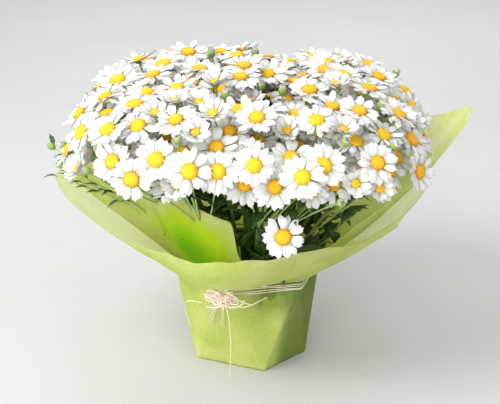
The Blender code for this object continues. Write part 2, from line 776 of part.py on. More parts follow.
def main():
    clear_scene()
    make_pot(material("pot_plastic", (0.26, 0.36, 0.14), 0.6))
    make_soil(material("soil", (0.06, 0.045, 0.03), 0.95))
    paper = material("lime_paper", (0.55, 0.72, 0.10), 0.5)
    layer = PAPER + PAPER_LAYER_GAP
    make_sheet("wrap_sheet_outer", OUTER_SKIRT, 0.0, 0.0, paper)
    make_sheet("wrap_sheet_inner", INNER_SKIRT, layer, layer, paper)
    axes, flowers = arrange_flowers()
    make_sprays(axes, flowers, material("daisy", (0.93, 0.93, 0.88), 0.6))
    leaf = material("leaf", (0.09, 0.20, 0.06), 0.5)
    make_shoots(leaf)
    make_rim_leaves(leaf)
    raffia = material("raffia", (0.80, 0.62, 0.42), 0.7)
    make_band(raffia)
    make_knot(raffia)
    make_tail("raffia_tail_front", TAIL_FRONT, raffia)
    make_tail("raffia_tail_left", TAIL_LEFT, raffia)
    make_tail("raffia_tail_right", TAIL_RIGHT, raffia)


main()
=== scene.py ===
"""How a bunch of daisies looks: paper wrap, raffia, pot, flowers and leaves, in metres.

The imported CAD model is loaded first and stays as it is.  Every piece is a surface worked
out as whole numpy arrays in the same frame: +Z is up, the front looks along -Y, and
angles round the pot are in degrees from the front, positive towards +X.
"""

import json
import math
import random

import bpy
import numpy as np
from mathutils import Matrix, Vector

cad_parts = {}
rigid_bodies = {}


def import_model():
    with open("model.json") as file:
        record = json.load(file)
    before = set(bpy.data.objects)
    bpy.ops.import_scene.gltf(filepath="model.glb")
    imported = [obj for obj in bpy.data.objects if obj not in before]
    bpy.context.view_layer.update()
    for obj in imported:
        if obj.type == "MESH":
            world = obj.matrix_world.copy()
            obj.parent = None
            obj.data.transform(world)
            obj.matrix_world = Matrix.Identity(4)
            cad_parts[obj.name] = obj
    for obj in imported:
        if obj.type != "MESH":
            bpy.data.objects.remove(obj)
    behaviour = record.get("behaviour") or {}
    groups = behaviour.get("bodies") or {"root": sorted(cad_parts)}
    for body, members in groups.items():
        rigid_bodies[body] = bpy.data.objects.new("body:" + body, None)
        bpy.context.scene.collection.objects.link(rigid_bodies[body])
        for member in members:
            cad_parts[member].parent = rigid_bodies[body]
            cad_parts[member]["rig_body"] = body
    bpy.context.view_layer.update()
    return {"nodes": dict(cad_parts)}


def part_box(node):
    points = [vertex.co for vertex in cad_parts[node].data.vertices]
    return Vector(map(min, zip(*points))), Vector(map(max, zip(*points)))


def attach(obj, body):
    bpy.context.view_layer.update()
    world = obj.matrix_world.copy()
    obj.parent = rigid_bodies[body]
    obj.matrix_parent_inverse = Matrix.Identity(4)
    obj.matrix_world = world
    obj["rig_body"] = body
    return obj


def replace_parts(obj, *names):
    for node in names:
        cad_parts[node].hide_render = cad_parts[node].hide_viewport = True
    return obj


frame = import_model()

bl_info = {
    "name": "Bunch of daisies",
    "version": (1, 0, 0),
    "blender": (4, 5, 0),
    "location": "View3D > Sidebar > Daisies",
    "description": "Makes a potted bunch of daisies wrapped in two sheets of paper",
    "category": "Add Mesh",
}

BODY = "root"

# Pot and paper, as in the CAD model
SOIL_TOP = 0.095
POT_HEIGHT = 0.105
POT_FOOT_RADIUS = 0.046
POT_RADIUS_UNDER_RIM = 0.0575
POT_RIM_DEPTH = 0.010
PAPER = 0.0006
PAPER_LAYER_GAP = 0.0004
NECK_HEIGHT = 0.098
POCKET_ANGLE = -38.0
GROUND_CORNERS = ((-60, 0.060), (15, 0.060), (75, 0.061), (128, 0.060), (188, 0.060), (245, 0.060))
NECK_CORNERS = ((-22, 0.075), (42, 0.076), (98, 0.075), (155, 0.075), (215, 0.075), (272, 0.076))
# Skirt stations: angle, radius and height that the sheet leans towards, radius and height of its edge
OUTER_SKIRT = (
    (-180, 0.148, 0.126, 0.175, 0.180),
    (-150, 0.148, 0.126, 0.170, 0.175),
    (-120, 0.152, 0.128, 0.178, 0.174),
    (-97, 0.158, 0.132, 0.196, 0.178),
    (-75, 0.128, 0.130, 0.160, 0.162),
    (-50, 0.108, 0.118, 0.140, 0.152),
    (-25, 0.126, 0.112, 0.132, 0.152),
    (0, 0.130, 0.118, 0.130, 0.153),
    (30, 0.126, 0.132, 0.142, 0.165),
    (58, 0.130, 0.136, 0.160, 0.165),
    (75, 0.134, 0.136, 0.154, 0.158),
    (95, 0.168, 0.134, 0.186, 0.186),
    (125, 0.165, 0.130, 0.184, 0.188),
    (150, 0.150, 0.128, 0.172, 0.182),
)
INNER_SKIRT = (
    (-180, 0.126, 0.136, 0.166, 0.200),
    (-150, 0.126, 0.136, 0.162, 0.196),
    (-120, 0.130, 0.138, 0.176, 0.200),
    (-98, 0.136, 0.140, 0.186, 0.190),
    (-86, 0.120, 0.140, 0.162, 0.180),
    (-74, 0.104, 0.138, 0.140, 0.188),
    (-60, 0.093, 0.134, 0.114, 0.192),
    (-50, 0.093, 0.131, 0.110, 0.177),
    (-42, 0.093, 0.128, 0.111, 0.186),
    (-27, 0.091, 0.126, 0.109, 0.180),
    (-18, 0.091, 0.122, 0.106, 0.178),
    (-12, 0.091, 0.114, 0.103, 0.166),
    (-7, 0.091, 0.110, 0.102, 0.146),
    (0, 0.092, 0.110, 0.101, 0.130),
    (15, 0.092, 0.112, 0.104, 0.128),
    (32, 0.100, 0.118, 0.116, 0.148),
    (55, 0.112, 0.130, 0.142, 0.178),
    (78, 0.128, 0.145, 0.186, 0.220),
    (93, 0.150, 0.150, 0.220, 0.254),
    (110, 0.142, 0.144, 0.200, 0.226),
    (135, 0.130, 0.138, 0.172, 0.200),
)

# Dome of flowers, as in the CAD model
DOME_CENTRE = 0.203
DOME_X = 0.172
DOME_Y = 0.160
DOME_Z = 0.096
DOME_POWER = 3.0
LOBE_DIP = 0.016
LOBE_DIP_X = 0.038
LOBE_DIP_WIDTH = 0.028
LEAN_UP = 0.30
LEAN_FRONT = 0.22
# Radius and rise of a flower's edge
HEAD_SHAPES = {"open": (0.0190, 0.0030), "cup": (0.0115, 0.0090), "bud": (0.0042, 0.0060)}
HEAD_TOP = 0.0063
HEAD_BELOW = 0.0015
DISC_RADIUS = 0.0075
PEDICEL_RADIUS = 0.0010
STEM_RADIUS = 0.0019
LAYER_STEP = 0.0085
LAYERS = 3
CLEAR = 0.0012
SPREAD_POINT = Vector((0.0, 0.0, 0.045))
SPRAYS = 27
GOLDEN_TURN = 137.508
SPRAY_LOWEST = 52
FORK_HIGHEST = 0.74
FORK_LOWEST = 0.36
FORK_DROP = 1.15
FORK_STEP = 0.006
FORK_MERGE = 0.35
PEDICEL_SAMPLES = (0.15, 0.3, 0.45, 0.6, 0.7, 0.8, 0.88, 0.95)
SEED = 11
FRONT_HEADS = (
    (2, 30), (8, 20), (-3, 20), (-17, 26), (4, 39), (16, 25), (15, 40), (-9, 27), (23, 29), (26, 39),
    (38, 25), (-11, 41), (39, 39), (-28, 30), (-35, 33), (-48, 36), (-42, 25), (-18, 37), (20, 18),
    (13, 10), (38, 15), (45, 35), (4, 52), (-4, 51), (-27, 46), (-42, 43), (28, 49), (45, 46),
    (-42, 50), (-4, 59), (11, 62), (-45, 61), (-35, 63), (25, 55), (44, 55), (53, 67), (71, 52),
    (-73, 45), (-82, 61), (-12, 79),
)
LOW_HEADS = ((12, 0.150, 0.186),)
LOWEST_ANGLE = ((-180, 11), (-120, 12), (-90, 13), (-60, 16), (0, 15), (45, 9), (75, 14), (120, 15))
# Flowers that only the looks have: kind, tries, layers, least distance to its neighbours
FILLERS = (("open", 560, 5, 0.0225), ("cup", 130, 4, 0.0190), ("bud", 60, 1, 0.0180))

# Leafy shoots and the leaves over the pot's rim, as in the CAD model
SHOOTS = (
    (-106, 0.112, 0.160), (-86, 0.122, 0.176), (-69, 0.094, 0.158), (-6, 0.078, 0.146), (10, 0.084, 0.138),
    (27, 0.100, 0.146), (48, 0.104, 0.150), (70, 0.108, 0.160), (92, 0.112, 0.168), (118, 0.108, 0.160),
    (146, 0.104, 0.158), (174, 0.104, 0.158), (202, 0.104, 0.158), (230, 0.106, 0.158),
)
SHOOT_FOOT_RADIUS = 0.0435
SHOOT_KNEE = (0.0600, 0.1150)
SHOOT_RADII = (0.0013, 0.0008)
TWIG_RADII = (0.0010, 0.0006)
RIM_LEAF_WIDTH = 0.0135
RIM_LEAF_BEND = 0.0885
RIM_LEAVES = ((9, 0.064), (22, 0.078), (36, 0.080), (52, 0.076))
# Side twigs that reach over the left wing: what ends each, and the four points of its curve
TWIGS = (
    ("bud", ((-0.058, -0.012, 0.112), (-0.082, -0.024, 0.150),
             (-0.126, -0.034, 0.186), (-0.188, -0.014, 0.222))),
    ("bud", ((-0.058, -0.010, 0.112), (-0.082, -0.028, 0.150),
             (-0.124, -0.040, 0.184), (-0.178, -0.028, 0.208))),
    ("leaf", ((-0.056, -0.020, 0.112), (-0.080, -0.034, 0.148),
             (-0.116, -0.046, 0.182), (-0.164, -0.042, 0.196))),
    ("leaf", ((-0.056, -0.024, 0.112), (-0.078, -0.038, 0.148),
             (-0.106, -0.052, 0.182), (-0.142, -0.058, 0.200))),
    ("leaf", ((-0.058, -0.004, 0.112), (-0.082, -0.018, 0.150),
             (-0.130, -0.026, 0.186), (-0.186, -0.022, 0.196))),
)

# Raffia, as in the CAD model
BAND_HEIGHT = 0.0060
GAP = 0.0003
KNOT_ANGLE = -17
TAIL_RADIUS = 0.0005
TAILS = {
    "front": (0.082, (
        (-0.0200, -0.0925, 0.0860), (-0.0188, -0.0940, 0.0820), (-0.0180, -0.0930, 0.0740),
        (-0.0172, -0.0900, 0.0590), (-0.0165, -0.0860, 0.0420), (-0.0172, -0.0815, 0.0250),
        (-0.0180, -0.0775, 0.0060),
    )),
    "left": (0.055, (
        (-0.0440, -0.0880, 0.0920), (-0.0500, -0.0870, 0.0925), (-0.0560, -0.0830, 0.0915),
        (-0.0600, -0.0770, 0.0870), (-0.0605, -0.0720, 0.0790), (-0.0590, -0.0690, 0.0680),
        (-0.0560, -0.0675, 0.0560),
    )),
    "right": (0.034, (
        (-0.0100, -0.0935, 0.0905), (-0.0050, -0.0950, 0.0905), (0.0010, -0.0955, 0.0920),
        (0.0070, -0.0945, 0.0945), (0.0125, -0.0925, 0.0965), (0.0165, -0.0895, 0.0975),
        (0.0190, -0.0870, 0.0965),
    )),
}

random_draws = random.Random(SEED)


def linear(code):
    """Linear red, green and blue of a six-digit colour code."""
    parts = [int(code[i:i + 2], 16) / 255.0 for i in (0, 2, 4)]
    return tuple(p / 12.92 if p <= 0.04045 else ((p + 0.055) / 1.055) ** 2.4 for p in parts)


# ---------------------------------------------------------------- sizes and colours a user may change


def colour_of(name, description, code):
    return bpy.props.FloatVectorProperty(
        name=name, description=description, default=linear(code), size=3, min=0.0, max=1.0, subtype="COLOR")


def length_of(name, description, default):
    return bpy.props.FloatProperty(
        name=name, description=description, default=default, min=0.0, subtype="DISTANCE", unit="LENGTH")


def count_of(name, description, default, least):
    return bpy.props.IntProperty(name=name, description=description, default=default, min=least)


class WrapSettings(bpy.types.PropertyGroup):
    sheet_colour: colour_of("Sheet colour", "Colour of the paper where it is one layer", "F3F6B6")
    shade_colour: colour_of("Shade colour", "Colour of the paper's denser fibres", "DBE580")
    columns: count_of("Columns", "Columns round a sheet", 320, 48)
    pleat_depth: length_of("Pleat depth", "Depth of the gathers at the tied neck", 0.0016)
    ruffle: length_of("Ruffle", "Height of the waves along a sheet's edge", 0.0030)
    thickness: length_of("Thickness", "Thickness of the paper", 0.0004)
    flat_side: length_of("Flat side", "Side of a sheet before it was gathered", 0.430)


class FlowerSettings(bpy.types.PropertyGroup):
    petal_colour: colour_of("Petal colour", "Colour of a petal", "F8F8F5")
    petal_base: colour_of("Petal base", "Colour of a petal where it meets the disc", "DDE3B4")
    disc_colour: colour_of("Disc colour", "Colour of the disc's middle", "F9BC00")
    disc_rim: colour_of("Disc rim", "Colour of the open florets round an older disc", "DA900A")
    young_disc: colour_of("Young disc", "Colour of a young disc's middle", "D3C614")
    fewest_petals: count_of("Fewest petals", "Petals of a small flower", 14, 8)
    petal_width: length_of("Petal width", "Width of a petal at its widest", 0.0062)
    petal_thickness: length_of("Petal thickness", "Thickness of a petal's middle", 0.00032)


class LeafSettings(bpy.types.PropertyGroup):
    leaf_colour: colour_of("Leaf colour", "Colour of an old leaf", "3A5A2C")
    young_colour: colour_of("Young colour", "Colour of a young leaf", "6F8F3C")
    stem_colour: colour_of("Stem colour", "Colour of the stalks", "A9C276")
    leaf_length: length_of("Leaf length", "Length of a usual leaf", 0.036)
    leaves_each: count_of("Leaves each", "Leaves on one main stem", 14, 1)


class RaffiaSettings(bpy.types.PropertyGroup):
    raffia_colour: colour_of("Raffia colour", "Colour of a pale strand", "FFF7E6")
    raffia_shade: colour_of("Raffia shade", "Colour of a pink-tan strand", "F3D2B6")
    strands: count_of("Strands", "Strands wound round the neck", 4, 3)
    knot_fibres: count_of("Knot fibres", "Loops of raffia in the knot", 44, 8)


class StageSettings(bpy.types.PropertyGroup):
    lens: bpy.props.FloatProperty(name="Lens", description="Focal length in millimetres",
                                  default=90.0, min=20.0)
    distance: length_of("Distance", "Distance from the camera to what it looks at", 1.25)
    elevation: bpy.props.FloatProperty(name="Elevation", description="Camera's height angle",
                                       default=math.radians(22.0), subtype="ANGLE", unit="ROTATION")
    floor_colour: colour_of("Floor colour", "Colour of the floor and backdrop", "BDBDBC")
    key_power: bpy.props.FloatProperty(name="Key power", description="Power of the main light in watts",
                                       default=23.5, min=0.0)


# ---------------------------------------------------------------- node helpers


def add_node(tree, kind, values=None, **settings):
    """Node with its settings; a value that is a socket is linked, any other is set on the socket."""
    node = tree.nodes.new(kind)
    for key, value in settings.items():
        setattr(node, key, value)
    for key, value in (values or {}).items():
        if isinstance(value, bpy.types.NodeSocket):
            tree.links.new(value, node.inputs[key])
        else:
            node.inputs[key].default_value = value
    return node


def opaque(colour):
    """Red, green and blue with the fourth number that a socket holds; a socket stays as it is."""
    return colour if isinstance(colour, bpy.types.NodeSocket) else (*colour, 1.0)


def mixed(tree, first, second, share):
    """Colour socket of two colours mixed by a share."""
    values = {6: opaque(first), 7: opaque(second), 0: share}
    return add_node(tree, "ShaderNodeMix", values, data_type="RGBA").outputs[2]


def math_node(tree, operation, first, second=0.0, third=0.0):
    return add_node(tree, "ShaderNodeMath", {0: first, 1: second, 2: third}, operation=operation).outputs[0]


def ranged(tree, value, low, high, to_low=0.0, to_high=1.0):
    """Value taken from one range to another, with a soft start and end."""
    return add_node(tree, "ShaderNodeMapRange", {0: value, 1: low, 2: high, 3: to_low, 4: to_high},
                    interpolation_type="SMOOTHSTEP").outputs[0]


def own_place(tree):
    """Socket of the piece's own coordinates."""
    return add_node(tree, "ShaderNodeTexCoord").outputs["Object"]


def noise(tree, place, scale, detail):
    values = {"Vector": place, "Scale": scale, "Detail": detail}
    return add_node(tree, "ShaderNodeTexNoise", values).outputs[0]


def bump(tree, height, distance, invert=False, **values):
    """Normal socket of a height in metres."""
    values = {"Height": height, "Distance": distance, **values}
    return add_node(tree, "ShaderNodeBump", values, invert=invert).outputs[0]


def new_group(name, inputs, outputs):
    """Empty shader node group with its inputs (name, kind, default) and outputs (name, kind)."""
    tree = bpy.data.node_groups.new(name, "ShaderNodeTree")
    for label, kind, default in inputs:
        tree.interface.new_socket(name=label, in_out="INPUT", socket_type=kind).default_value = default
    for label, kind in outputs:
        tree.interface.new_socket(name=label, in_out="OUTPUT", socket_type=kind)
    return tree, tree.nodes.new("NodeGroupInput").outputs, tree.nodes.new("NodeGroupOutput").inputs


def mottle_group():
    """Two colours mixed in soft patches, with fine flecks: noise at a scale and at nine times it."""
    name = "Mottle"
    if name in bpy.data.node_groups:
        return bpy.data.node_groups[name]
    tree, into, out = new_group(
        name,
        (("Light", "NodeSocketColor", (1, 1, 1, 1)), ("Dark", "NodeSocketColor", (0, 0, 0, 1)),
         ("Scale", "NodeSocketFloat", 50.0), ("Flecks", "NodeSocketFloat", 0.3)),
        (("Color", "NodeSocketColor"),))
    place = own_place(tree)
    patches = ranged(tree, noise(tree, place, into["Scale"], 3.0), 0.3, 0.7)
    finer = math_node(tree, "MULTIPLY", into["Scale"], 9.0)
    flecks = ranged(tree, noise(tree, place, finer, 2.0), 0.35, 0.65)
    fleck_share = math_node(tree, "MULTIPLY", flecks, into["Flecks"])
    kept = math_node(tree, "SUBTRACT", 1.0, into["Flecks"])
    mask = math_node(tree, "MULTIPLY_ADD", patches, kept, fleck_share)
    tree.links.new(mixed(tree, into["Light"], into["Dark"], mask), out["Color"])
    return tree


def relief_group():
    """Fine uneven surface: stretched noise as a normal."""
    name = "Relief"
    if name in bpy.data.node_groups:
        return bpy.data.node_groups[name]
    tree, into, out = new_group(
        name,
        (("Scale", "NodeSocketFloat", 400.0), ("Stretch", "NodeSocketVector", (1, 1, 1)),
         ("Depth", "NodeSocketFloat", 0.0001)),
        (("Normal", "NodeSocketVector"),))
    values = {0: own_place(tree), 1: into["Stretch"]}
    drawn = add_node(tree, "ShaderNodeVectorMath", values, operation="MULTIPLY").outputs[0]
    height = noise(tree, drawn, into["Scale"], 4.0)
    tree.links.new(bump(tree, height, into["Depth"]), out["Normal"])
    return tree


def mottled(tree, light, dark, scale, flecks=0.3):
    """Colour socket of the mottle group with its own values."""
    values = {"Light": opaque(light), "Dark": opaque(dark), "Scale": scale, "Flecks": flecks}
    return add_node(tree, "ShaderNodeGroup", values, node_tree=mottle_group()).outputs["Color"]


def relief(tree, scale, depth, stretch=(1.0, 1.0, 1.0)):
    """Normal socket of the relief group with its own values."""
    values = {"Scale": scale, "Stretch": stretch, "Depth": depth}
    return add_node(tree, "ShaderNodeGroup", values, node_tree=relief_group()).outputs["Normal"]


def marks(tree):
    """Red, green and blue sockets of the piece's own marks attribute."""
    colour = add_node(tree, "ShaderNodeAttribute", None, attribute_name="marks").outputs["Color"]
    return add_node(tree, "ShaderNodeSeparateColor", {0: colour}).outputs


def new_finish(name, roughness, translucent=0.0, clear_tint=None):
    """Material and its tree; paint() gives it a colour, mixed with light that comes through."""
    finish = bpy.data.materials.new(name)
    finish.use_nodes = True
    tree = finish.node_tree
    shader = tree.nodes["Principled BSDF"]
    shader.inputs["Roughness"].default_value = roughness
    result = shader.outputs[0]
    through = window = None
    if translucent:
        through = add_node(tree, "ShaderNodeBsdfTranslucent")
        values = {0: translucent, 1: result, 2: through.outputs[0]}
        result = add_node(tree, "ShaderNodeMixShader", values).outputs[0]
    if clear_tint:
        seen = add_node(tree, "ShaderNodeBsdfTransparent", {0: opaque(clear_tint)})
        window = add_node(tree, "ShaderNodeMixShader", {1: result, 2: seen.outputs[0]})
        result = window.outputs[0]
    tree.links.new(result, tree.nodes["Material Output"].inputs["Surface"])

    def paint(colour, normal=None, openness=None):
        tree.links.new(colour, shader.inputs["Base Color"])
        if through is not None:
            tree.links.new(colour, through.inputs[0])
        if normal is not None:
            tree.links.new(normal, shader.inputs["Normal"])
            if through is not None:
                tree.links.new(normal, through.inputs["Normal"])
        if openness is not None:
            tree.links.new(openness, window.inputs[0])

    return finish, tree, paint


# ---------------------------------------------------------------- mesh helpers


def mesh_of(name, points, face_sets, finish, attribute=None, soft=True):
    """Piece from points (n, 3) and sets of faces, each a whole array with one row for a face."""
    mesh = bpy.data.meshes.new(name)
    points = np.asarray(points, float).reshape(-1, 3)
    mesh.vertices.add(len(points))
    mesh.vertices.foreach_set("co", points.astype(np.float32).ravel())
    corners = np.concatenate([faces.ravel() for faces in face_sets])
    totals = np.concatenate([np.full(len(faces), faces.shape[1]) for faces in face_sets])
    starts = np.concatenate([[0], np.cumsum(totals)[:-1]])
    mesh.loops.add(len(corners))
    mesh.loops.foreach_set("vertex_index", corners.astype(np.int32))
    mesh.polygons.add(len(totals))
    mesh.polygons.foreach_set("loop_start", starts.astype(np.int32))
    mesh.polygons.foreach_set("use_smooth", np.full(len(totals), soft))
    mesh.update(calc_edges=True)
    if attribute is not None:
        layer = mesh.attributes.new("marks", "FLOAT_COLOR", "POINT")
        rows = np.ones((len(points), 4), np.float32)
        rows[:, :3] = np.asarray(attribute, float).reshape(-1, 3)
        layer.data.foreach_set("color", rows.ravel())
    mesh.materials.append(finish)
    piece = bpy.data.objects.new(name, mesh)
    bpy.context.scene.collection.objects.link(piece)
    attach(piece, BODY)
    return piece


def tube_faces(count, rings, sides, first=0):
    """Faces of tubes with rings x sides points each: quads round the wall and a cap at each end."""
    index = first + np.arange(count * rings * sides).reshape(count, rings, sides)
    low, high = index[:, :-1], index[:, 1:]
    wall = np.stack([low, np.roll(low, -1, 2), np.roll(high, -1, 2), high], -1).reshape(-1, 4)
    return [wall, index[:, 0, ::-1], index[:, -1]]


def marks_along(shape, along, across_it, each):
    """Marks for every point of (n, rings, sides): one row by ring, one by side and one by piece."""
    parts = along[None, :, None], across_it[None, None, :], each[:, None, None]
    return np.stack([np.broadcast_to(part, shape) for part in parts], -1)


def turns(sides):
    """Angles of evenly spread points of a circle."""
    return np.arange(sides) * (math.tau / sides)


def turned(place, look, level, other, radius, rise, turn):
    """Forms (n, rings, sides, 3) turned about each look, with a radius and a rise for each point."""
    n = (slice(None), None, None)
    out = level[n] * np.cos(turn)[..., None] + other[n] * np.sin(turn)[..., None]
    return place[n] + out * radius[..., None] + look[n] * rise[..., None]


def unit(vectors):
    return vectors / np.maximum(np.linalg.norm(vectors, axis=-1, keepdims=True), 1e-12)


def across(vectors, reference):
    """Unit vectors square to the given ones, as near to the reference as can be."""
    along = unit(vectors)
    return unit(reference - along * np.sum(reference * along, -1, keepdims=True))


def rods(paths, radii, sides):
    """Tubes (n, rings, sides, 3) along paths (n, rings, 3): a circle square to the path at each point."""
    tangent = unit(np.gradient(paths, axis=1))
    chord = unit(paths[:, -1] - paths[:, 0])
    spare = np.where(np.abs(chord[:, 2:]) > 0.9, np.array([[0.0, 1.0, 0.0]]), np.array([[0.0, 0.0, 1.0]]))
    level = across(tangent, across(chord, spare)[:, None, :])
    other = np.cross(tangent, level)
    turn = turns(sides)
    circle = level[:, :, None] * np.cos(turn)[:, None] + other[:, :, None] * np.sin(turn)[:, None]
    return paths[:, :, None] + circle * np.asarray(radii)[:, :, None, None]


def bezier(points, steps):
    """Paths (n, steps, 3) of cubic curves from their four points (n, 4, 3)."""
    t = np.linspace(0.0, 1.0, steps)
    weights = np.stack([(1 - t) ** 3, 3 * t * (1 - t) ** 2, 3 * t * t * (1 - t), t ** 3], -1)
    return np.einsum("sk,nkc->nsc", weights, np.asarray(points, float))


def smooth_route(points, count):
    """Evenly counted points on a smooth curve through given points."""
    knots = np.asarray(points, float)
    ends = np.vstack([2 * knots[0] - knots[1], knots, 2 * knots[-1] - knots[-2]])
    place = np.linspace(0.0, len(knots) - 1.0, count)
    i = np.minimum(place.astype(int), len(knots) - 2)
    t = (place - i)[:, None]
    p0, p1, p2, p3 = (ends[i + j] for j in range(4))
    return 0.5 * (2 * p1 + (p2 - p0) * t + (2 * p0 - 5 * p1 + 4 * p2 - p3) * t * t
                  + (3 * p1 - p0 - 3 * p2 + p3) * t ** 3)


def near(angles, middle, width, power=2):
    """Share that is 1 at an angle and falls off on both sides of it."""
    return np.exp(-((angles - middle) / width) ** power)


def wave_sum(angles, waves):
    """Sines round the pot, each with its count, phase and share, over the most that they can add to."""
    total = sum(share for _, _, share in waves)
    return sum(share * np.sin(count * angles + phase) for count, phase, share in waves) / total


def polar(angles, radius, height):
    """Points at angles in degrees round the pot from the front."""
    a = np.radians(angles)
    return np.stack(np.broadcast_arrays(np.sin(a) * radius, -np.cos(a) * radius, height), -1)


def around(stations, angles):
    """Values of stations round the pot at angles: a closed cubic curve with limited slopes."""
    rows = np.array(sorted(stations), float)
    count = len(rows)
    turn = (np.asarray(angles, float) - rows[0, 0]) % 360.0 + rows[0, 0]
    k = np.searchsorted(rows[:, 0], turn, side="right") - 1
    spots = []
    for j in (-1, 0, 1, 2):
        lap, index = np.divmod(k + j, count)
        spots.append((rows[index, 0] + 360.0 * lap, rows[index, 1:]))
    (a0, p0), (a1, p1), (a2, p2), (a3, p3) = spots
    span = a2 - a1
    t = ((turn - a1) / span)[..., None]
    limit = 1.5 * np.abs(p2 - p1)
    slope_1 = np.clip((p2 - p0) * (span / (a2 - a0))[..., None], -limit, limit)
    slope_2 = np.clip((p3 - p1) * (span / (a3 - a1))[..., None], -limit, limit)
    h = t * t * (3.0 - 2.0 * t)
    return p1 + (p2 - p1) * h + slope_1 * (t**3 - 2 * t * t + t) + slope_2 * (t**3 - t * t)


def facet_radius(angles, share):
    """Radius of the folded paper's outline at a share of the way up to the neck.

    The ground and neck corners join in flat triangles, so a level cut is a polygon whose
    corners lie on the creases; the radius is where the ray at an angle leaves it.
    """
    ground = polar(*np.array(GROUND_CORNERS).T, 0.0)[:, :2]
    neck = polar(*np.array(NECK_CORNERS).T, 0.0)[:, :2]
    angles, share = np.broadcast_arrays(np.asarray(angles, float), np.asarray(share, float))
    up = share[..., None, None]
    pair = np.stack([ground, np.roll(ground, -1, 0)], 1).reshape(-1, 2)
    corners = pair + (np.repeat(neck, 2, 0) - pair) * up
    edge = np.roll(corners, -1, -2) - corners
    ray = polar(angles, 1.0, 0.0)[..., None, :2]
    cross = ray[..., 0] * edge[..., 1] - ray[..., 1] * edge[..., 0]
    cross = np.where(np.abs(cross) < 1e-12, 1e-12, cross)
    reach = (corners[..., 0] * edge[..., 1] - corners[..., 1] * edge[..., 0]) / cross
    along = (corners[..., 0] * ray[..., 1] - corners[..., 1] * ray[..., 0]) / cross
    good = (reach > 0.0) & (along >= -1e-6) & (along <= 1.0 + 1e-6) & (reach < 1.0)
    return np.where(good, reach, 0.0).max(-1)


# ---------------------------------------------------------------- flower arrangement, as in the CAD model


def direction(angle):
    a = math.radians(angle)
    return Vector((math.sin(a), -math.cos(a), 0.0))


def at(angle, radius, height):
    return direction(angle) * radius + Vector((0.0, 0.0, height))


def ring(centre, axis, radius, sides):
    """Points of a circle about an axis, starting from a level direction."""
    level = Vector((-axis.y, axis.x, 0.0))
    level = level.normalized() if level.length > 1e-6 else Vector((1.0, 0.0, 0.0))
    other = axis.cross(level)
    steps = (math.tau * k / sides for k in range(sides))
    return [centre + (level * math.cos(a) + other * math.sin(a)) * radius for a in steps]


def dome_point(angle, height_angle, depth):
    """Place and outward direction on the flower dome, a depth below its surface."""
    a, h = math.radians(angle), math.radians(height_angle)
    way = Vector((math.sin(a) * math.cos(h), -math.cos(a) * math.cos(h), math.sin(h)))
    way /= sum(abs(c) ** DOME_POWER for c in way) ** (1.0 / DOME_POWER)
    axes = (DOME_X, DOME_Y, DOME_Z)
    place = Vector([c * size for c, size in zip(way, axes)])
    normal = Vector([c * abs(c) ** (DOME_POWER - 2.0) / size for c, size in zip(way, axes)]).normalized()
    dip = math.exp(-(((place.x - LOBE_DIP_X) / LOBE_DIP_WIDTH) ** 2)) * max(0.0, way.z) ** 2
    place.z += DOME_CENTRE - LOBE_DIP * dip
    return place - normal * depth, normal


def facing(normal, wobble):
    """Direction a flower looks: out of the dome, leaning to the light and to the front."""
    leaning = normal + Vector((0.0, -LEAN_FRONT, LEAN_UP)) + wobble
    return leaning.normalized()


def small_turn(amount):
    return Vector([random_draws.uniform(-amount, amount) for _ in range(3)])


def spray_axes():
    """Directions of the main stems, spread evenly over the cone that the dome fills."""
    low = math.sin(math.radians(SPRAY_LOWEST))
    axes = []
    for k in range(SPRAYS):
        rise = 1.0 - (1.0 - low) * (k + 0.5) / SPRAYS
        turn = math.radians(GOLDEN_TURN) * k
        flat = math.sqrt(1.0 - rise * rise)
        axes.append(Vector((flat * math.sin(turn), -flat * math.cos(turn), rise)))
    return axes


def sample_head(flower):
    """Points over a flower's edge and middle, and along its pedicel, used to keep it clear."""
    radius, rise = HEAD_SHAPES[flower["kind"]]
    edge = ring(flower["place"] + flower["look"] * rise, flower["look"], radius, 12)
    inner = ring(flower["place"] + flower["look"] * rise * 0.6, flower["look"], radius * 0.55, 6)
    stalk = [flower["fork"].lerp(flower["place"], t) for t in PEDICEL_SAMPLES]
    return edge + inner + [flower["place"]], stalk


def inside_head(point, flower, margin):
    """Whether a point is within a margin of a flower's lens-shaped solid."""
    radius, rise = HEAD_SHAPES[flower["kind"]]
    offset = point - flower["place"]
    up = offset.dot(flower["look"])
    out = (offset - flower["look"] * up).length
    if out > radius + margin:
        return False
    floor = rise * min(1.0, out / radius)
    ceiling = max(rise + 0.0005, HEAD_TOP)
    return floor - HEAD_BELOW - margin < up < ceiling + margin


def rods_apart(a, b, c, d):
    """Least distance between the straight lines a-b and c-d."""
    u, v, w = b - a, d - c, a - c
    uu, uv, vv, uw, vw = u.dot(u), u.dot(v), v.dot(v), u.dot(w), v.dot(w)
    spread = uu * vv - uv * uv
    s = min(1.0, max(0.0, (uv * vw - vv * uw) / spread)) if spread > 1e-12 else 0.0
    t = min(1.0, max(0.0, (uv * s + vw) / vv))
    s = min(1.0, max(0.0, (uv * t - uw) / uu))
    return (w + u * s - v * t).length


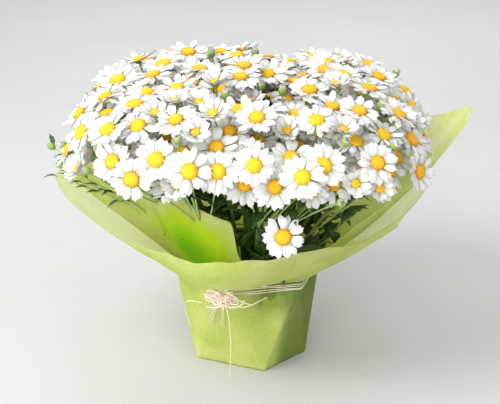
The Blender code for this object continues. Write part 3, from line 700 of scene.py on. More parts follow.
def crowded(flower, others):
    body, stalk = sample_head(flower)
    for other in others:
        apart = (other["place"] - flower["place"]).length
        reach = HEAD_SHAPES[flower["kind"]][0] + HEAD_SHAPES[other["kind"]][0]
        if apart < reach + 0.004:
            if apart < 0.010:
                return True
            if any(inside_head(p, other, CLEAR) for p in body):
                return True
            if any(inside_head(p, flower, CLEAR) for p in other["body"]):
                return True
        if apart < 0.110:
            if any(inside_head(p, other, PEDICEL_RADIUS + CLEAR) for p in stalk):
                return True
            if any(inside_head(p, flower, PEDICEL_RADIUS + CLEAR) for p in other["stalk"]):
                return True
            free = FORK_MERGE if other["spray"] == flower["spray"] else 0.0
            ends = [end for f in (flower, other) for end in (f["fork"].lerp(f["place"], free), f["place"])]
            if rods_apart(*ends) < 2 * PEDICEL_RADIUS + CLEAR:
                return True
    return False


def new_flower(place, look, kind, axes, flowers):
    """Flower on the main stem that points nearest to it, with its fork below."""
    towards = (place - SPREAD_POINT).normalized()
    spray = max(range(len(axes)), key=lambda k: axes[k].dot(towards))
    earlier = sum(1 for f in flowers if f["spray"] == spray)
    share = FORK_HIGHEST - FORK_DROP * axes[spray].angle(towards) + FORK_STEP * (earlier % 3)
    share = max(FORK_LOWEST, share)
    fork = SPREAD_POINT + axes[spray] * (place - SPREAD_POINT).dot(axes[spray]) * share
    return {"place": place, "look": look, "kind": kind, "spray": spray, "fork": fork}


def try_flower(place, look, kind, axes, flowers):
    """Add a flower at a place if it is clear of all the others."""
    flower = new_flower(place, look, kind, axes, flowers)
    if crowded(flower, flowers):
        return False
    flower["body"], flower["stalk"] = sample_head(flower)
    flowers.append(flower)
    return True


def add_at(angle, height_angle, wobble, kind, layers, axes, flowers):
    """Add a flower at a place on the dome, in the first layer down where it is clear."""
    for layer in range(layers):
        depth = LAYER_STEP * layer - (HEAD_SHAPES["bud"][1] if kind == "bud" else 0.0)
        place, normal = dome_point(angle, height_angle, depth)
        if try_flower(place, facing(normal, wobble), kind, axes, flowers):
            return


def golden_places(count, offset):
    """Angle and height angle of evenly spread places on a half sphere, from the top down."""
    for k in range(count):
        height_angle = math.degrees(math.asin(1.0 - (k + 0.5) / count))
        yield (GOLDEN_TURN * k + offset) % 360.0 - 180.0, height_angle


def arrange_flowers():
    """All flowers of the CAD model: the front ones at listed places, then the dome filled layer by layer."""
    axes = spray_axes()
    flowers = []
    for angle, height_angle in FRONT_HEADS:
        add_at(angle, height_angle, small_turn(0.12), "open", LAYERS + 1, axes, flowers)
    for angle, radius, height in LOW_HEADS:
        look = (direction(angle) + Vector((0.0, -0.2, 0.35)) + small_turn(0.1)).normalized()
        try_flower(at(angle, radius, height), look, "open", axes, flowers)
    for kind, count, deepest in (("open", 330, LAYERS), ("cup", 260, LAYERS), ("bud", 90, 1)):
        for angle, height_angle in golden_places(count, 25.0):
            wobble = small_turn(0.22)
            if height_angle < around(LOWEST_ANGLE, angle)[0]:
                continue
            add_at(angle, height_angle, wobble, kind, deepest, axes, flowers)
    return axes, flowers


def fill_gaps(axes, flowers):
    """Flowers and buds that squeeze into the gaps, where petals may touch their neighbours."""
    for kind, count, deepest, apart in FILLERS:
        for angle, height_angle in golden_places(count, 61.0):
            wobble = small_turn(0.30)
            over_wing = 9.0 * near(angle % 360.0, 82.0, 24.0)
            if height_angle < around(LOWEST_ANGLE, angle)[0] + 1.0 + over_wing:
                continue
            for layer in range(deepest):
                depth = 0.004 + LAYER_STEP * layer - (0.004 if kind == "bud" else 0.0)
                place, normal = dome_point(angle, height_angle, depth)
                if min((f["place"] - place).length for f in flowers) > apart:
                    flower = new_flower(place, facing(normal, wobble), kind, axes, flowers)
                    flower["filler"] = True
                    flowers.append(flower)
                    break


# ---------------------------------------------------------------- flowers


BLADE_RINGS = {"petal": 7, "leaf": 13, "rim leaf": 22}
BLADE_SIDES = 8
# Section of a blade: shares of half the width, and of half the thickness
BLADE_ACROSS = np.array([1.0, 0.5, 0.0, -0.5, -1.0, -0.5, 0.0, 0.5])
BLADE_TOP = np.array([0.0, 0.8, 1.0, 0.8, 0.0, -0.8, -1.0, -0.8])


def blades(base, along, side, face, length, width, sag, rings, outline, thickness, groove, spine=0.0):
    """Thin closed blades (n, rings, 8, 3), each swept along its own bent middle line.

    At a share u of the length the middle line has turned from `along` towards `-face` by
    half of sag x u; the section has five points over the top and three below, so the blade
    is a lens in section: offset = side x width/2 x outline(u) x v, and face x (groove wave
    over v + spine x |v|), with half the thickness on either side.
    """
    u = outline["steps"](np.linspace(0.0, 1.0, rings))[None, :, None]
    v = BLADE_ACROSS[None, None, :]
    n = (slice(None), None, None)
    bent = sag[n] * u * 0.5
    reach = length[n] * (u + outline["tip"](u, v))
    forward, drop = reach * np.cos(bent), -reach * np.sin(bent)
    half = 0.5 * width[n] * outline["width"](u) * v
    lift = groove * np.cos(3.0 * math.pi * v) * np.sin(math.pi * u) + spine * np.abs(v) * np.sin(math.pi * u)
    lift = lift + 0.5 * thickness * BLADE_TOP * (1.0 - 0.75 * u ** 3) + drop
    m = (slice(None), None, None, slice(None))
    return base[m] + along[m] * forward[..., None] + side[m] * half[..., None] + face[m] * lift[..., None]


def blade_marks(stack, chance):
    """Marks of blades: share of the length, share across, and one chance for each blade."""
    rings = np.linspace(0.0, 1.0, stack.shape[1])
    return marks_along(stack.shape[:3], rings, BLADE_ACROSS * 0.5 + 0.5, chance)


def smooth(x):
    x = np.clip(x, 0.0, 1.0)
    return x * x * (3.0 - 2.0 * x)


PETAL_OUTLINE = {
    # Narrow at the base, widest at two thirds, and drawn in at a rounded tip where the rings lie closer
    "steps": lambda share: np.sin(share * math.pi / 2),
    "width": lambda u: (0.42 + 0.58 * smooth(u / 0.6)) * np.sqrt(1.0 - 0.95 * smooth((u - 0.66) / 0.34) ** 2),
    "tip": lambda u, v: -0.07 * np.abs(v) ** 2.0 * u ** 6,
}
LEAF_OUTLINE = {
    # Stalked, widest past the middle, with four rounded lobes down each side and a pointed tip
    "steps": lambda share: share,
    "width": lambda u: (0.10 + 0.90 * smooth(u / 0.55)) * (1.0 - 0.93 * smooth((u - 0.58) / 0.42))
    * (1.0 + 0.20 * np.cos(math.tau * 4.2 * u + 0.6)),
    "tip": lambda u, v: -0.05 * np.abs(v) * np.sin(math.pi * u),
}


# Profiles of the disc, of the green cup under a flower and of a bud: share of the radius, and height
DISC_PROFILE = (
    (0.55, -0.0006), (0.94, -0.0002), (1.0, 0.0009), (0.90, 0.0019), (0.74, 0.0026),
    (0.56, 0.0031), (0.38, 0.0033), (0.20, 0.0033), (0.07, 0.0032),
)
CUP_PROFILE = (
    (0.28, -0.0034), (0.72, -0.0024), (1.0, -0.0008), (1.04, 0.0010), (0.80, 0.0018), (0.30, 0.0020),
)
BUD_PROFILE = (
    (0.25, -0.0010), (0.75, 0.0005), (1.0, 0.0030), (0.85, 0.0055), (0.45, 0.0075), (0.08, 0.0082),
)
BUD_RADIUS = 0.0036
DISC_SIDES, CUP_SIDES, BUD_SIDES = 20, 12, 10
DISC_SIZES = {"open": 1.0, "cup": 0.60, "bud": 0.30}
CUP_SIZES = {"open": 1.0, "cup": 0.80, "bud": 0.78}
CUP_HEIGHTS = {"open": 1.0, "cup": 1.3, "bud": 1.6}
# Petals of each kind of flower.  "number" is the fewest and how many steps there are above it; "lift"
# is in radians: its mean, what a layer adds and its spread; "length" is its mean, its spread and the
# share that a layer loses; "foot" is the radius they stand on and what a layer takes off; "sag" and
# "width" are a mean and a spread; "own" is how far the flower's own tilt and size count.  The
# settings give an open flower's fewest petals and their width.
PETALS = {
    "open": {"layers": 2, "number": (14, 6), "lift": (0.14, 0.14, 0.13), "length": (0.0152, 0.0009, 0.07),
             "foot": (0.0056, 0.0), "sag": (0.26, 0.26), "width": (0.0062, 0.0005), "own": (0.6, 1.0)},
    "cup": {"layers": 2, "number": (11, 6), "lift": (0.52, 0.22, 0.10), "length": (0.0122, 0.0006, 0.08),
            "foot": (0.0042, 0.0008), "sag": (-0.10, 0.16), "width": (0.0062, 0.0004), "own": (0.0, 0.0)},
    "bud": {"layers": 1, "number": (7, 0), "lift": (1.32, 0.0, 0.04), "length": (0.0058, 0.0004, 0.0),
            "foot": (0.0018, 0.0), "sag": (-0.45, 0.05), "width": (0.0034, 0.0), "own": (0.0, 0.0)},
}


def flower_arrays(flowers):
    """Places, looks, sideways directions and forks of flowers, as arrays."""
    place = np.array([f["place"] for f in flowers], float)
    look = np.array([f["look"] for f in flowers], float)
    fork = np.array([f["fork"] for f in flowers], float)
    level = across(look, np.array([[0.31, 0.17, 0.93]]))
    return place, look, level, np.cross(look, level), fork


def make_petals(name, flowers, finish, settings, draws):
    """Petals of every flower of a spray: open ones lie out flat, cups stand up, buds show a white tuft."""
    place, look, level, other, _ = flower_arrays(flowers)
    rows = []
    for index, flower in enumerate(flowers):
        petal = PETALS[flower["kind"]]
        fewest, more = petal["number"]
        widest, uneven = petal["width"]
        if flower["kind"] == "open":
            fewest, widest = settings.fewest_petals, settings.petal_width
        count = fewest + (int(draws.integers(0, more)) if more else 0)
        tilt = draws.normal(0.0, 0.10) * petal["own"][0]
        size = draws.uniform(0.93, 1.04) ** petal["own"][1]
        start = draws.uniform(0.0, math.tau)
        lift, lift_added, lift_spread = petal["lift"]
        mean_length, length_spread, length_lost = petal["length"]
        foot, foot_lost = petal["foot"]
        for layer in range(petal["layers"]):
            own = count if layer == 0 else int(count * 0.5)
            one = np.ones(own)
            turn = start + layer * 0.17 + turns(own) + draws.normal(0.0, 0.075, own)
            rise = draws.normal(lift + tilt + lift_added * layer, lift_spread, own)
            length = draws.normal(mean_length, length_spread, own) * size * (1.0 - length_lost * layer)
            sag = draws.normal(*petal["sag"], own)
            width = draws.normal(widest, uneven, own) if uneven else widest * one
            chance = draws.uniform(0, 1, own)
            radius = (foot - foot_lost * layer) * one
            row = one * index, turn, rise, length, radius, sag, width, chance, one * layer
            rows.append(np.stack(row, -1))
    index, turn, rise, length, radius, sag, width, chance, layer = np.concatenate(rows).T
    i = index.astype(int)
    out = level[i] * np.cos(turn)[:, None] + other[i] * np.sin(turn)[:, None]
    side = np.cross(look[i], out)
    along = out * np.cos(rise)[:, None] + look[i] * np.sin(rise)[:, None]
    face = look[i] * np.cos(rise)[:, None] - out * np.sin(rise)[:, None]
    base = place[i] + out * radius[:, None] + look[i] * (0.0006 + 0.0007 * layer)[:, None]
    twist = draws.normal(0.0, 0.16, len(i))[:, None]
    side, face = side * np.cos(twist) + face * np.sin(twist), face * np.cos(twist) - side * np.sin(twist)
    rings = BLADE_RINGS["petal"]
    stack = blades(base, along, side, face, length, width, sag, rings, PETAL_OUTLINE,
                   settings.petal_thickness, 0.00022)
    return mesh_of(name, stack, tube_faces(len(i), rings, BLADE_SIDES), finish,
                   blade_marks(stack, chance), soft=False)


def of_kind(flowers, values):
    """One value for each flower, by its kind, shaped (n, 1, 1)."""
    return np.array([values[f["kind"]] for f in flowers])[:, None, None]


def make_discs(name, flowers, finish, draws):
    """Discs: a dome of florets, where every other point of every other ring stands up."""
    share, height = np.array(DISC_PROFILE).T[:, :, None]
    rings = len(share)
    size = of_kind(flowers, DISC_SIZES) * draws.uniform(0.92, 1.06, len(flowers))[:, None, None]
    ripe = draws.uniform(0.0, 1.0, len(flowers))[:, None, None] * (size > 0.8) + 0.05
    row = np.arange(rings)[:, None]
    checks = np.where((np.arange(DISC_SIDES) + row) % 2 == 0, 1.0, -1.0) * ((row > 1) & (row < rings - 1))
    radius = DISC_RADIUS * (share + 0.020 * checks) * size
    rise = (height + 0.00028 * checks) * (0.45 + 0.55 * size) + 0.0010
    spot = turned(*flower_arrays(flowers)[:4], radius, rise, turns(DISC_SIDES) + 0.16 * row)
    parts = share, ripe, checks * 0.5 + 0.5
    mark = np.stack([np.broadcast_to(part, spot.shape[:3]) for part in parts], -1)
    return mesh_of(name, spot, tube_faces(len(flowers), rings, DISC_SIDES), finish, mark)


STEM_RINGS, STEM_SIDES = 14, 8
PEDICEL_RINGS, PEDICEL_SIDES = 9, 6


def make_stalks(name, axis, flowers, finish, draws):
    """Main stem, pedicels that bend up to their flowers, and the green cup under each flower."""
    place, look, level, other, fork = flower_arrays(flowers)
    axis = np.array(axis, float)
    foot = np.array(SPREAD_POINT, float)
    top = np.linalg.norm(fork - foot, axis=1).max() + 0.0015
    low = (SOIL_TOP - 0.001 - foot[2]) / axis[2]
    steps = np.linspace(low, top, STEM_RINGS)
    sway = across(axis, np.array([1.0, 0.3, 0.0])) * 0.0012
    stem = foot + axis * steps[:, None] + sway * np.sin(np.linspace(0, 7.0, STEM_RINGS))[:, None]
    stem_tube = rods(stem[None], STEM_RADIUS * np.linspace(1.0, 0.75, STEM_RINGS)[None], STEM_SIDES)
    far = np.linalg.norm(place - fork, axis=1, keepdims=True)
    start = unit(unit(place - fork) * 0.6 + axis * 0.4)
    under = place - look * 0.0022
    curve = bezier(np.stack([fork - axis * 0.001, fork + start * far * 0.35,
                             under - look * np.minimum(far * 0.35, 0.022), under], 1), PEDICEL_RINGS)
    waver = np.sin(np.linspace(0, math.pi, PEDICEL_RINGS))[None, :, None]
    wander = draws.normal(0.0, 0.0005, curve.shape) * waver
    swell = np.array([1.15, 1.0, 0.92, 0.88, 0.85, 0.85, 0.9, 1.0, 1.3])
    pedicel_radius = np.broadcast_to(PEDICEL_RADIUS * swell, (len(place), PEDICEL_RINGS))
    pedicels = rods(curve + wander, pedicel_radius, PEDICEL_SIDES)
    share, height = np.array(CUP_PROFILE).T[:, :, None]
    raised = np.array([0, 1, -1, 1, 1, 0])[:, None] * np.where(np.arange(CUP_SIDES) % 2, 1.0, -1.0)
    radius = 0.0050 * (share * (1.0 + 0.05 * raised)) * of_kind(flowers, CUP_SIZES)
    rise = height * of_kind(flowers, CUP_HEIGHTS)
    cups = turned(place, look, level, other, radius, rise, turns(CUP_SIDES)[None])
    points, sets, mark, first = [], [], [], 0
    for shape, kind, grows in ((stem_tube, 0.9, 0.0), (pedicels, 0.45, 1.0), (cups, 0.1, 1.0)):
        count, rings, sides = shape.shape[:3]
        sets += tube_faces(count, rings, sides, first)
        up = np.tile(np.repeat(np.linspace(0, grows, rings), sides), count)
        mark.append(np.stack([up, np.full_like(up, kind), np.zeros_like(up)], -1))
        points.append(shape.reshape(-1, 3))
        first += len(up)
    return mesh_of(name, np.concatenate(points), sets, finish, np.concatenate(mark))


def inside_paper(points, skirt, margin):
    """Whether points are inside a sheet by a margin, or well above its edge.

    The skirt's height at a share t is a quadratic, so its root gives t and then the radius.
    The margin is wider behind the pocket, whose wall leans in.
    """
    angles = np.degrees(np.arctan2(points[:, 0], -points[:, 1]))
    lean_radius, lean_height, edge_radius, edge_height = around(skirt, angles).T
    square, line = edge_height - 2 * lean_height + NECK_HEIGHT, 2 * (lean_height - NECK_HEIGHT)
    above = points[:, 2] - NECK_HEIGHT
    t = np.clip(2 * above / (line + np.sqrt(np.maximum(line ** 2 + 4 * square * above, 1e-12))), 0.0, 1.0)
    radius = 0.072 * (1 - t) ** 2 + 2 * lean_radius * t * (1 - t) + edge_radius * t * t
    margin = margin + 0.024 * near(angles, POCKET_ANGLE, 24.0)
    return (np.hypot(points[:, 0], points[:, 1]) < radius - margin) | (points[:, 2] > edge_height + 0.030)


def make_leaves(name, base, along, length, width, finish, draws, loose=False):
    """Lobed leaves from their bases: a blade with a folded middle rib that bends down to its tip."""
    along = unit(along)
    length = np.broadcast_to(length, len(base))
    inside = np.logical_and.reduce([
        inside_paper(base + along * (length * share)[:, None], skirt, 0.005)
        for share in (0.35, 0.7, 1.0) for skirt in (INNER_SKIRT, OUTER_SKIRT)])
    if loose:
        inside[:] = True
    inside[:1] = True
    base, along, length, width = base[inside], along[inside], length[inside], width[inside]
    count = len(base)
    side = unit(np.cross(along, np.array([0.0, 0.0, 1.0])) + draws.normal(0.0, 0.22, (count, 3)))
    side = across(along, side)
    face = np.cross(along, side)
    flip = np.where(face[:, 2:] < 0.0, -1.0, 1.0)
    face, side = face * flip, side * flip
    rings = BLADE_RINGS["leaf"]
    sag = draws.uniform(0.3, 1.5, count)
    stack = blades(base, along, side, face, length, width, sag, rings, LEAF_OUTLINE, 0.0005, 0.0, 0.0016)
    return mesh_of(name, stack, tube_faces(count, rings, BLADE_SIDES), finish,
                   blade_marks(stack, draws.uniform(0, 1, count)))


# ---------------------------------------------------------------- finishes

# The paper's long fibres: turn in radians, and how close they lie along each axis
PAPER_FIBRES = ((0.3, (35.0, 420.0, 60.0)), (1.3, (420.0, 40.0, 70.0)), (2.2, (60.0, 90.0, 520.0)))


def petal_finish(settings):
    finish, tree, paint = new_finish("daisy petal", 0.6, translucent=0.18)
    u, v, chance = marks(tree)[:3]
    veins = math_node(tree, "SINE", math_node(tree, "MULTIPLY", v, 40.0))
    white = mixed(tree, settings.petal_colour, linear("DCDFE4"), ranged(tree, veins, 0.0, 1.0, 0.0, 0.45))
    tone = mixed(tree, white, linear("F7F5EC"), ranged(tree, chance, 0.3, 1.0, 0.0, 0.45))
    colour = mixed(tree, tone, settings.petal_base, ranged(tree, u, 0.0, 0.30, 0.85, 0.0))
    soft = mottled(tree, colour, linear("E9EAE6"), 160.0, 0.2)
    paint(mixed(tree, colour, soft, 0.25), bump(tree, veins, 0.00012))
    return finish


def disc_finish(settings):
    finish, tree, paint = new_finish("daisy disc", 0.62)
    share, ripe, high = marks(tree)[:3]
    middle = mixed(tree, settings.young_disc, settings.disc_colour, ranged(tree, share, 0.05, 0.55))
    grown = mixed(tree, settings.disc_colour, settings.disc_rim, ranged(tree, share, 0.55, 0.95))
    colour = mixed(tree, middle, grown, ranged(tree, ripe, 0.2, 0.7))
    # Painted shade: the lower florets are darker, in the dips between the raised ones
    dark = mixed(tree, colour, linear("A65A00"), ranged(tree, high, 0.0, 0.5, 0.34, 0.0))
    values = {"Vector": own_place(tree), "Scale": 900.0}
    florets = add_node(tree, "ShaderNodeTexVoronoi", values).outputs["Distance"]
    # Painted highlight: the middle of each floret is lighter
    lit = mixed(tree, dark, linear("FFDC3C"), ranged(tree, florets, 0.0, 0.35, 0.30, 0.0))
    paint(lit, bump(tree, florets, 0.0004, invert=True))
    return finish


def leaf_finish(settings):
    finish, tree, paint = new_finish("daisy leaf", 0.42, translucent=0.22)
    u, v, chance = marks(tree)[:3]
    body = mixed(tree, settings.leaf_colour, settings.young_colour, ranged(tree, chance, 0.35, 1.0))
    from_rib = math_node(tree, "ABSOLUTE", math_node(tree, "SUBTRACT", v, 0.5))
    rib = ranged(tree, from_rib, 0.0, 0.07, 0.55, 0.0)
    slant = math_node(tree, "MULTIPLY_ADD", from_rib, -14.0, math_node(tree, "MULTIPLY", u, 52.0))
    veins = ranged(tree, math_node(tree, "SINE", slant), 0.55, 1.0, 0.0, 0.30)
    colour = mixed(tree, body, linear("8DA35E"), math_node(tree, "MAXIMUM", rib, veins))
    patches = mottled(tree, colour, linear("22361C"), 120.0, 0.4)
    paint(mixed(tree, colour, patches, 0.6), bump(tree, veins, 0.0005, invert=True))
    return finish


def stem_finish(settings):
    finish, tree, paint = new_finish("daisy stalk", 0.5, translucent=0.10)
    u, kind = marks(tree)[:2]
    green = mixed(tree, linear("93AF50"), settings.stem_colour, ranged(tree, kind, 0.1, 0.45))
    older = mixed(tree, green, linear("839C50"), ranged(tree, kind, 0.5, 0.9))
    colour = mixed(tree, older, linear("B9CB8A"), ranged(tree, u, 0.5, 1.0, 0.0, 0.35))
    patches = mottled(tree, colour, linear("4E6530"), 220.0, 0.5)
    paint(mixed(tree, colour, patches, 0.45), relief(tree, 900.0, 0.00025, (1.0, 1.0, 0.15)))
    return finish


def paper_finish(name, settings, clear):
    """Thin wet-laid paper: long fibres in three directions over soft clouds, and light through it.

    It is clearer up the skirt and where it lies on the rim leaves than round the rest of the pot.
    In the pocket's fold it is painted a deeper green and made less see-through, as painted shade; the
    turned-up band in front is made less see-through so that it shows lighter, as painted light; and the
    right-hand wall is painted darker, as painted shade.
    """
    finish, tree, paint = new_finish(name, 0.5, translucent=0.60, clear_tint=(0.975, 0.99, 0.86))
    up, pocket, thin_wall_and_painted_light = marks(tree)[:3]
    place = own_place(tree)
    fibres = 0.0
    for turn, stretch in PAPER_FIBRES:
        values = {"Vector": place, "Rotation": (turn, turn * 0.7, turn * 1.9), "Scale": stretch}
        drawn = add_node(tree, "ShaderNodeMapping", values).outputs[0]
        fibres = math_node(tree, "MAXIMUM", fibres, ranged(tree, noise(tree, drawn, 1.0, 2.0), 0.52, 0.68))
    single = mottled(tree, settings.sheet_colour, settings.shade_colour, 26.0, 0.25)
    # Painted shade: where up is below zero, on the right-hand wall, the colour goes towards a darker green
    clouds = mixed(tree, linear("8CA842"), single, ranged(tree, up, -1.0, -0.1, 0.25, 1.0))
    colour = mixed(tree, clouds, linear("EEF4B4"), math_node(tree, "MULTIPLY", fibres, 0.16))
    # Painted shade: deep in the pocket's fold the colour goes towards a deeper, more saturated green
    colour = mixed(tree, colour, linear("D8EE22"), ranged(tree, pocket, 0.02, 0.5, 0.0, 0.95))
    colour = mixed(tree, colour, linear("A2E000"), ranged(tree, pocket, 0.50, 1.0, 0.0, 1.0))
    # Openness: clearer up the skirt and on the thin wall over the rim leaves; less on the band in front, as
    # painted light
    wall = math_node(tree, "MULTIPLY_ADD", thin_wall_and_painted_light, 0.62, ranged(tree, up, 0.0, 0.45, 0.30, clear))
    # The pocket's fold is made less see-through so that its painted green shows: part of the same painted
    # shade
    openness = math_node(tree, "MULTIPLY", wall, math_node(tree, "MULTIPLY_ADD", pocket, -0.80, 1.0))
    fine = bump(tree, fibres, 0.00006, Strength=0.4)
    crumpled = bump(tree, noise(tree, place, 38.0, 3.0), 0.0016, Strength=0.5, Normal=fine)
    paint(colour, crumpled, openness)
    return finish


def raffia_finish(settings):
    finish, tree, paint = new_finish("raffia", 0.55, translucent=0.10)
    v, chance = marks(tree)[1:3]
    tone = mixed(tree, settings.raffia_colour, settings.raffia_shade, ranged(tree, chance, 0.35, 1.0))
    grain = math_node(tree, "SINE", math_node(tree, "MULTIPLY", v, 44.0))
    streaked = mixed(tree, tone, linear("E2BF9C"), ranged(tree, grain, 0.3, 1.0, 0.0, 0.3))
    patches = mottled(tree, streaked, linear("FFF6E4"), 150.0, 0.4)
    paint(mixed(tree, streaked, patches, 0.5), bump(tree, grain, 0.00003))
    return finish


def plain_finish(name, roughness, light, dark, patches, grain, translucent=0.0):
    """Finish of two mottled colours (scale, flecks) over a fine relief (scale, depth and stretch)."""
    finish, tree, paint = new_finish(name, roughness, translucent)
    paint(mottled(tree, linear(light), linear(dark), *patches), relief(tree, *grain))
    return finish


def strand_finish():
    return plain_finish("raffia strand", 0.5, "EEF0C4", "D6D79A", (260.0, 0.5),
                        (1500.0, 0.0002, (1.0, 1.0, 0.1)), translucent=0.20)


def pot_finish():
    return plain_finish("nursery pot plastic", 0.5, "A3B566", "8A9C52", (34.0, 0.3), (600.0, 0.00015))


def soil_finish():
    return plain_finish("potting soil", 0.95, "4A3726", "1C140D", (130.0, 0.6), (420.0, 0.0022))


# ---------------------------------------------------------------- operators


# Each light's name, place, size and share of the key power
LIGHTS = (
    ("key", (-1.0, -0.6, 1.4), 0.8, 1.0),
    ("fill", (-0.7, -1.8, 0.35), 1.2, 1.10),
    ("back", (0.3, 1.3, 1.2), 1.4, 0.35),
)


class DAISIES_OT_stage(bpy.types.Operator):
    """Make the floor, the lights and the camera"""

    bl_idname = "daisies.stage"
    bl_label = "Stage"

    def execute(self, context):
        settings = context.scene.daisies_stage
        target = Vector((0.002, 0.0, 0.160))
        e = settings.elevation
        camera = bpy.data.objects.new("camera", bpy.data.cameras.new("camera"))
        camera.data.lens = settings.lens
        camera.data.sensor_width = 36.0
        camera.data.clip_start = 0.05
        camera.location = target + Vector((0.0, -math.cos(e), math.sin(e))) * settings.distance
        camera.rotation_euler = (math.pi / 2 - e, 0.0, 0.0)
        context.scene.collection.objects.link(camera)
        context.scene.camera = camera
        self.add_floor(settings)
        for name, place, size, share in LIGHTS:
            self.add_light(context, name, place, size, settings.key_power * share)
        world = bpy.data.worlds.new("soft studio")
        world.use_nodes = True
        background = world.node_tree.nodes["Background"]
        background.inputs["Color"].default_value = (0.98, 0.985, 1.0, 1.0)
        background.inputs["Strength"].default_value = 1.06
        context.scene.world = world
        context.scene.view_settings.view_transform = "Standard"
        return {"FINISHED"}

    def add_floor(self, settings):
        """Floor that sweeps up into a backdrop: level, then a quarter circle, then upright."""
        finish, tree, paint = new_finish("studio floor", 0.85)
        height = add_node(tree, "ShaderNodeSeparateXYZ", {0: own_place(tree)}).outputs["Z"]
        level = mottled(tree, settings.floor_colour, linear("B9B9B8"), 3.0, 0.1)
        # Painted light: the sweep goes towards a lighter grey as it rises, so the backdrop is lighter than the
        # floor
        paint(mixed(tree, level, linear("E2E6E6"), ranged(tree, height, 0.0, 1.0)))
        turn = np.linspace(0.0, math.pi / 2, 17)
        y = np.concatenate([[-16.0, 1.6], 1.6 + 0.8 * np.sin(turn[1:]), [2.4]])
        z = np.concatenate([[0.0, 0.0], 0.8 - 0.8 * np.cos(turn[1:]), [4.0]]) - 0.0002
        x = np.array([-16.0, 16.0])
        grid = np.stack(np.broadcast_arrays(x[None, :], y[:, None], z[:, None]), -1)
        index = np.arange(len(y) * 2).reshape(-1, 2)
        faces = np.stack([index[:-1, 0], index[:-1, 1], index[1:, 1], index[1:, 0]], -1)
        floor = mesh_of("floor", grid, [faces], finish)
        floor.parent = None
        del floor["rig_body"]

    def add_light(self, context, name, place, size, power):
        light = bpy.data.lights.new(name, "AREA")
        light.size = size
        light.energy = power
        lamp = bpy.data.objects.new(name, light)
        lamp.location = place
        lamp.rotation_euler = (Vector((0.0, 0.0, 0.15)) - lamp.location).to_track_quat("-Z", "Y").to_euler()
        context.scene.collection.objects.link(lamp)


class DAISIES_OT_tails(bpy.types.Operator):
    """Make the three loose strands that hang from the raffia knot"""

    bl_idname = "daisies.tails"
    bl_label = "Raffia tails"

    def execute(self, context):
        finish = strand_finish()
        for name, (length, route) in TAILS.items():
            curve = bpy.data.curves.new(f"strand_{name}", "CURVE")
            curve.dimensions = "3D"
            curve.bevel_depth = TAIL_RADIUS
            curve.bevel_resolution = 2
            curve.use_fill_caps = True
            line = curve.splines.new("POLY")
            places = smooth_route(route, 20)
            line.points.add(len(places) - 1)
            line.points.foreach_set("co", np.column_stack([places, np.ones(len(places))]).ravel())
            curve.materials.append(finish)
            strand = bpy.data.objects.new(f"strand_{name}", curve)
            context.scene.collection.objects.link(strand)
            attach(strand, BODY)
            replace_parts(strand, f"raffia_tail_{name}")
        return {"FINISHED"}


class DAISIES_OT_pot(bpy.types.Operator):
    """Give the pot and the soil their finishes"""

    bl_idname = "daisies.pot"
    bl_label = "Pot and soil"

    def execute(self, context):
        for node, finish in (("pot", pot_finish()), ("soil", soil_finish())):
            frame["nodes"][node].data.materials.clear()
            frame["nodes"][node].data.materials.append(finish)
        return {"FINISHED"}


GROUND_ROWS, WALL_ROWS, SKIRT_ROWS = 10, 40, 60
# Gathers at the neck and waves along the edge: count round the pot, phase and share
PLEATS = ((19, 0.4, 1.0), (31, 2.0, 0.8), (47, 4.0, 0.5))
FOLDS = ((7, 0.9, 1.0), (12, 2.6, 0.7), (23, 1.1, 0.4))
# The pocket's spread in degrees, how far its edge is lifted, and how many degrees its lip leans over
POCKET_SPREAD = 23.0
POCKET_LIFT = 0.015
POCKET_LEAN = 9.0
# Angle, spread and power of the lip, of the thin wall over the rim leaves, of the turned-up band in front,
# made less see-through so that it shows lighter as painted light, and of the wall painted darker as painted
# shade
POCKET_LIP = (-20.0, 10.0)
THIN_WALL = (20.0, 24.0)
PAINTED_LIGHT_BAND = (5.0, 70.0, 4)
PAINTED_SHADE_WALL = (84.0, 54.0, 8)


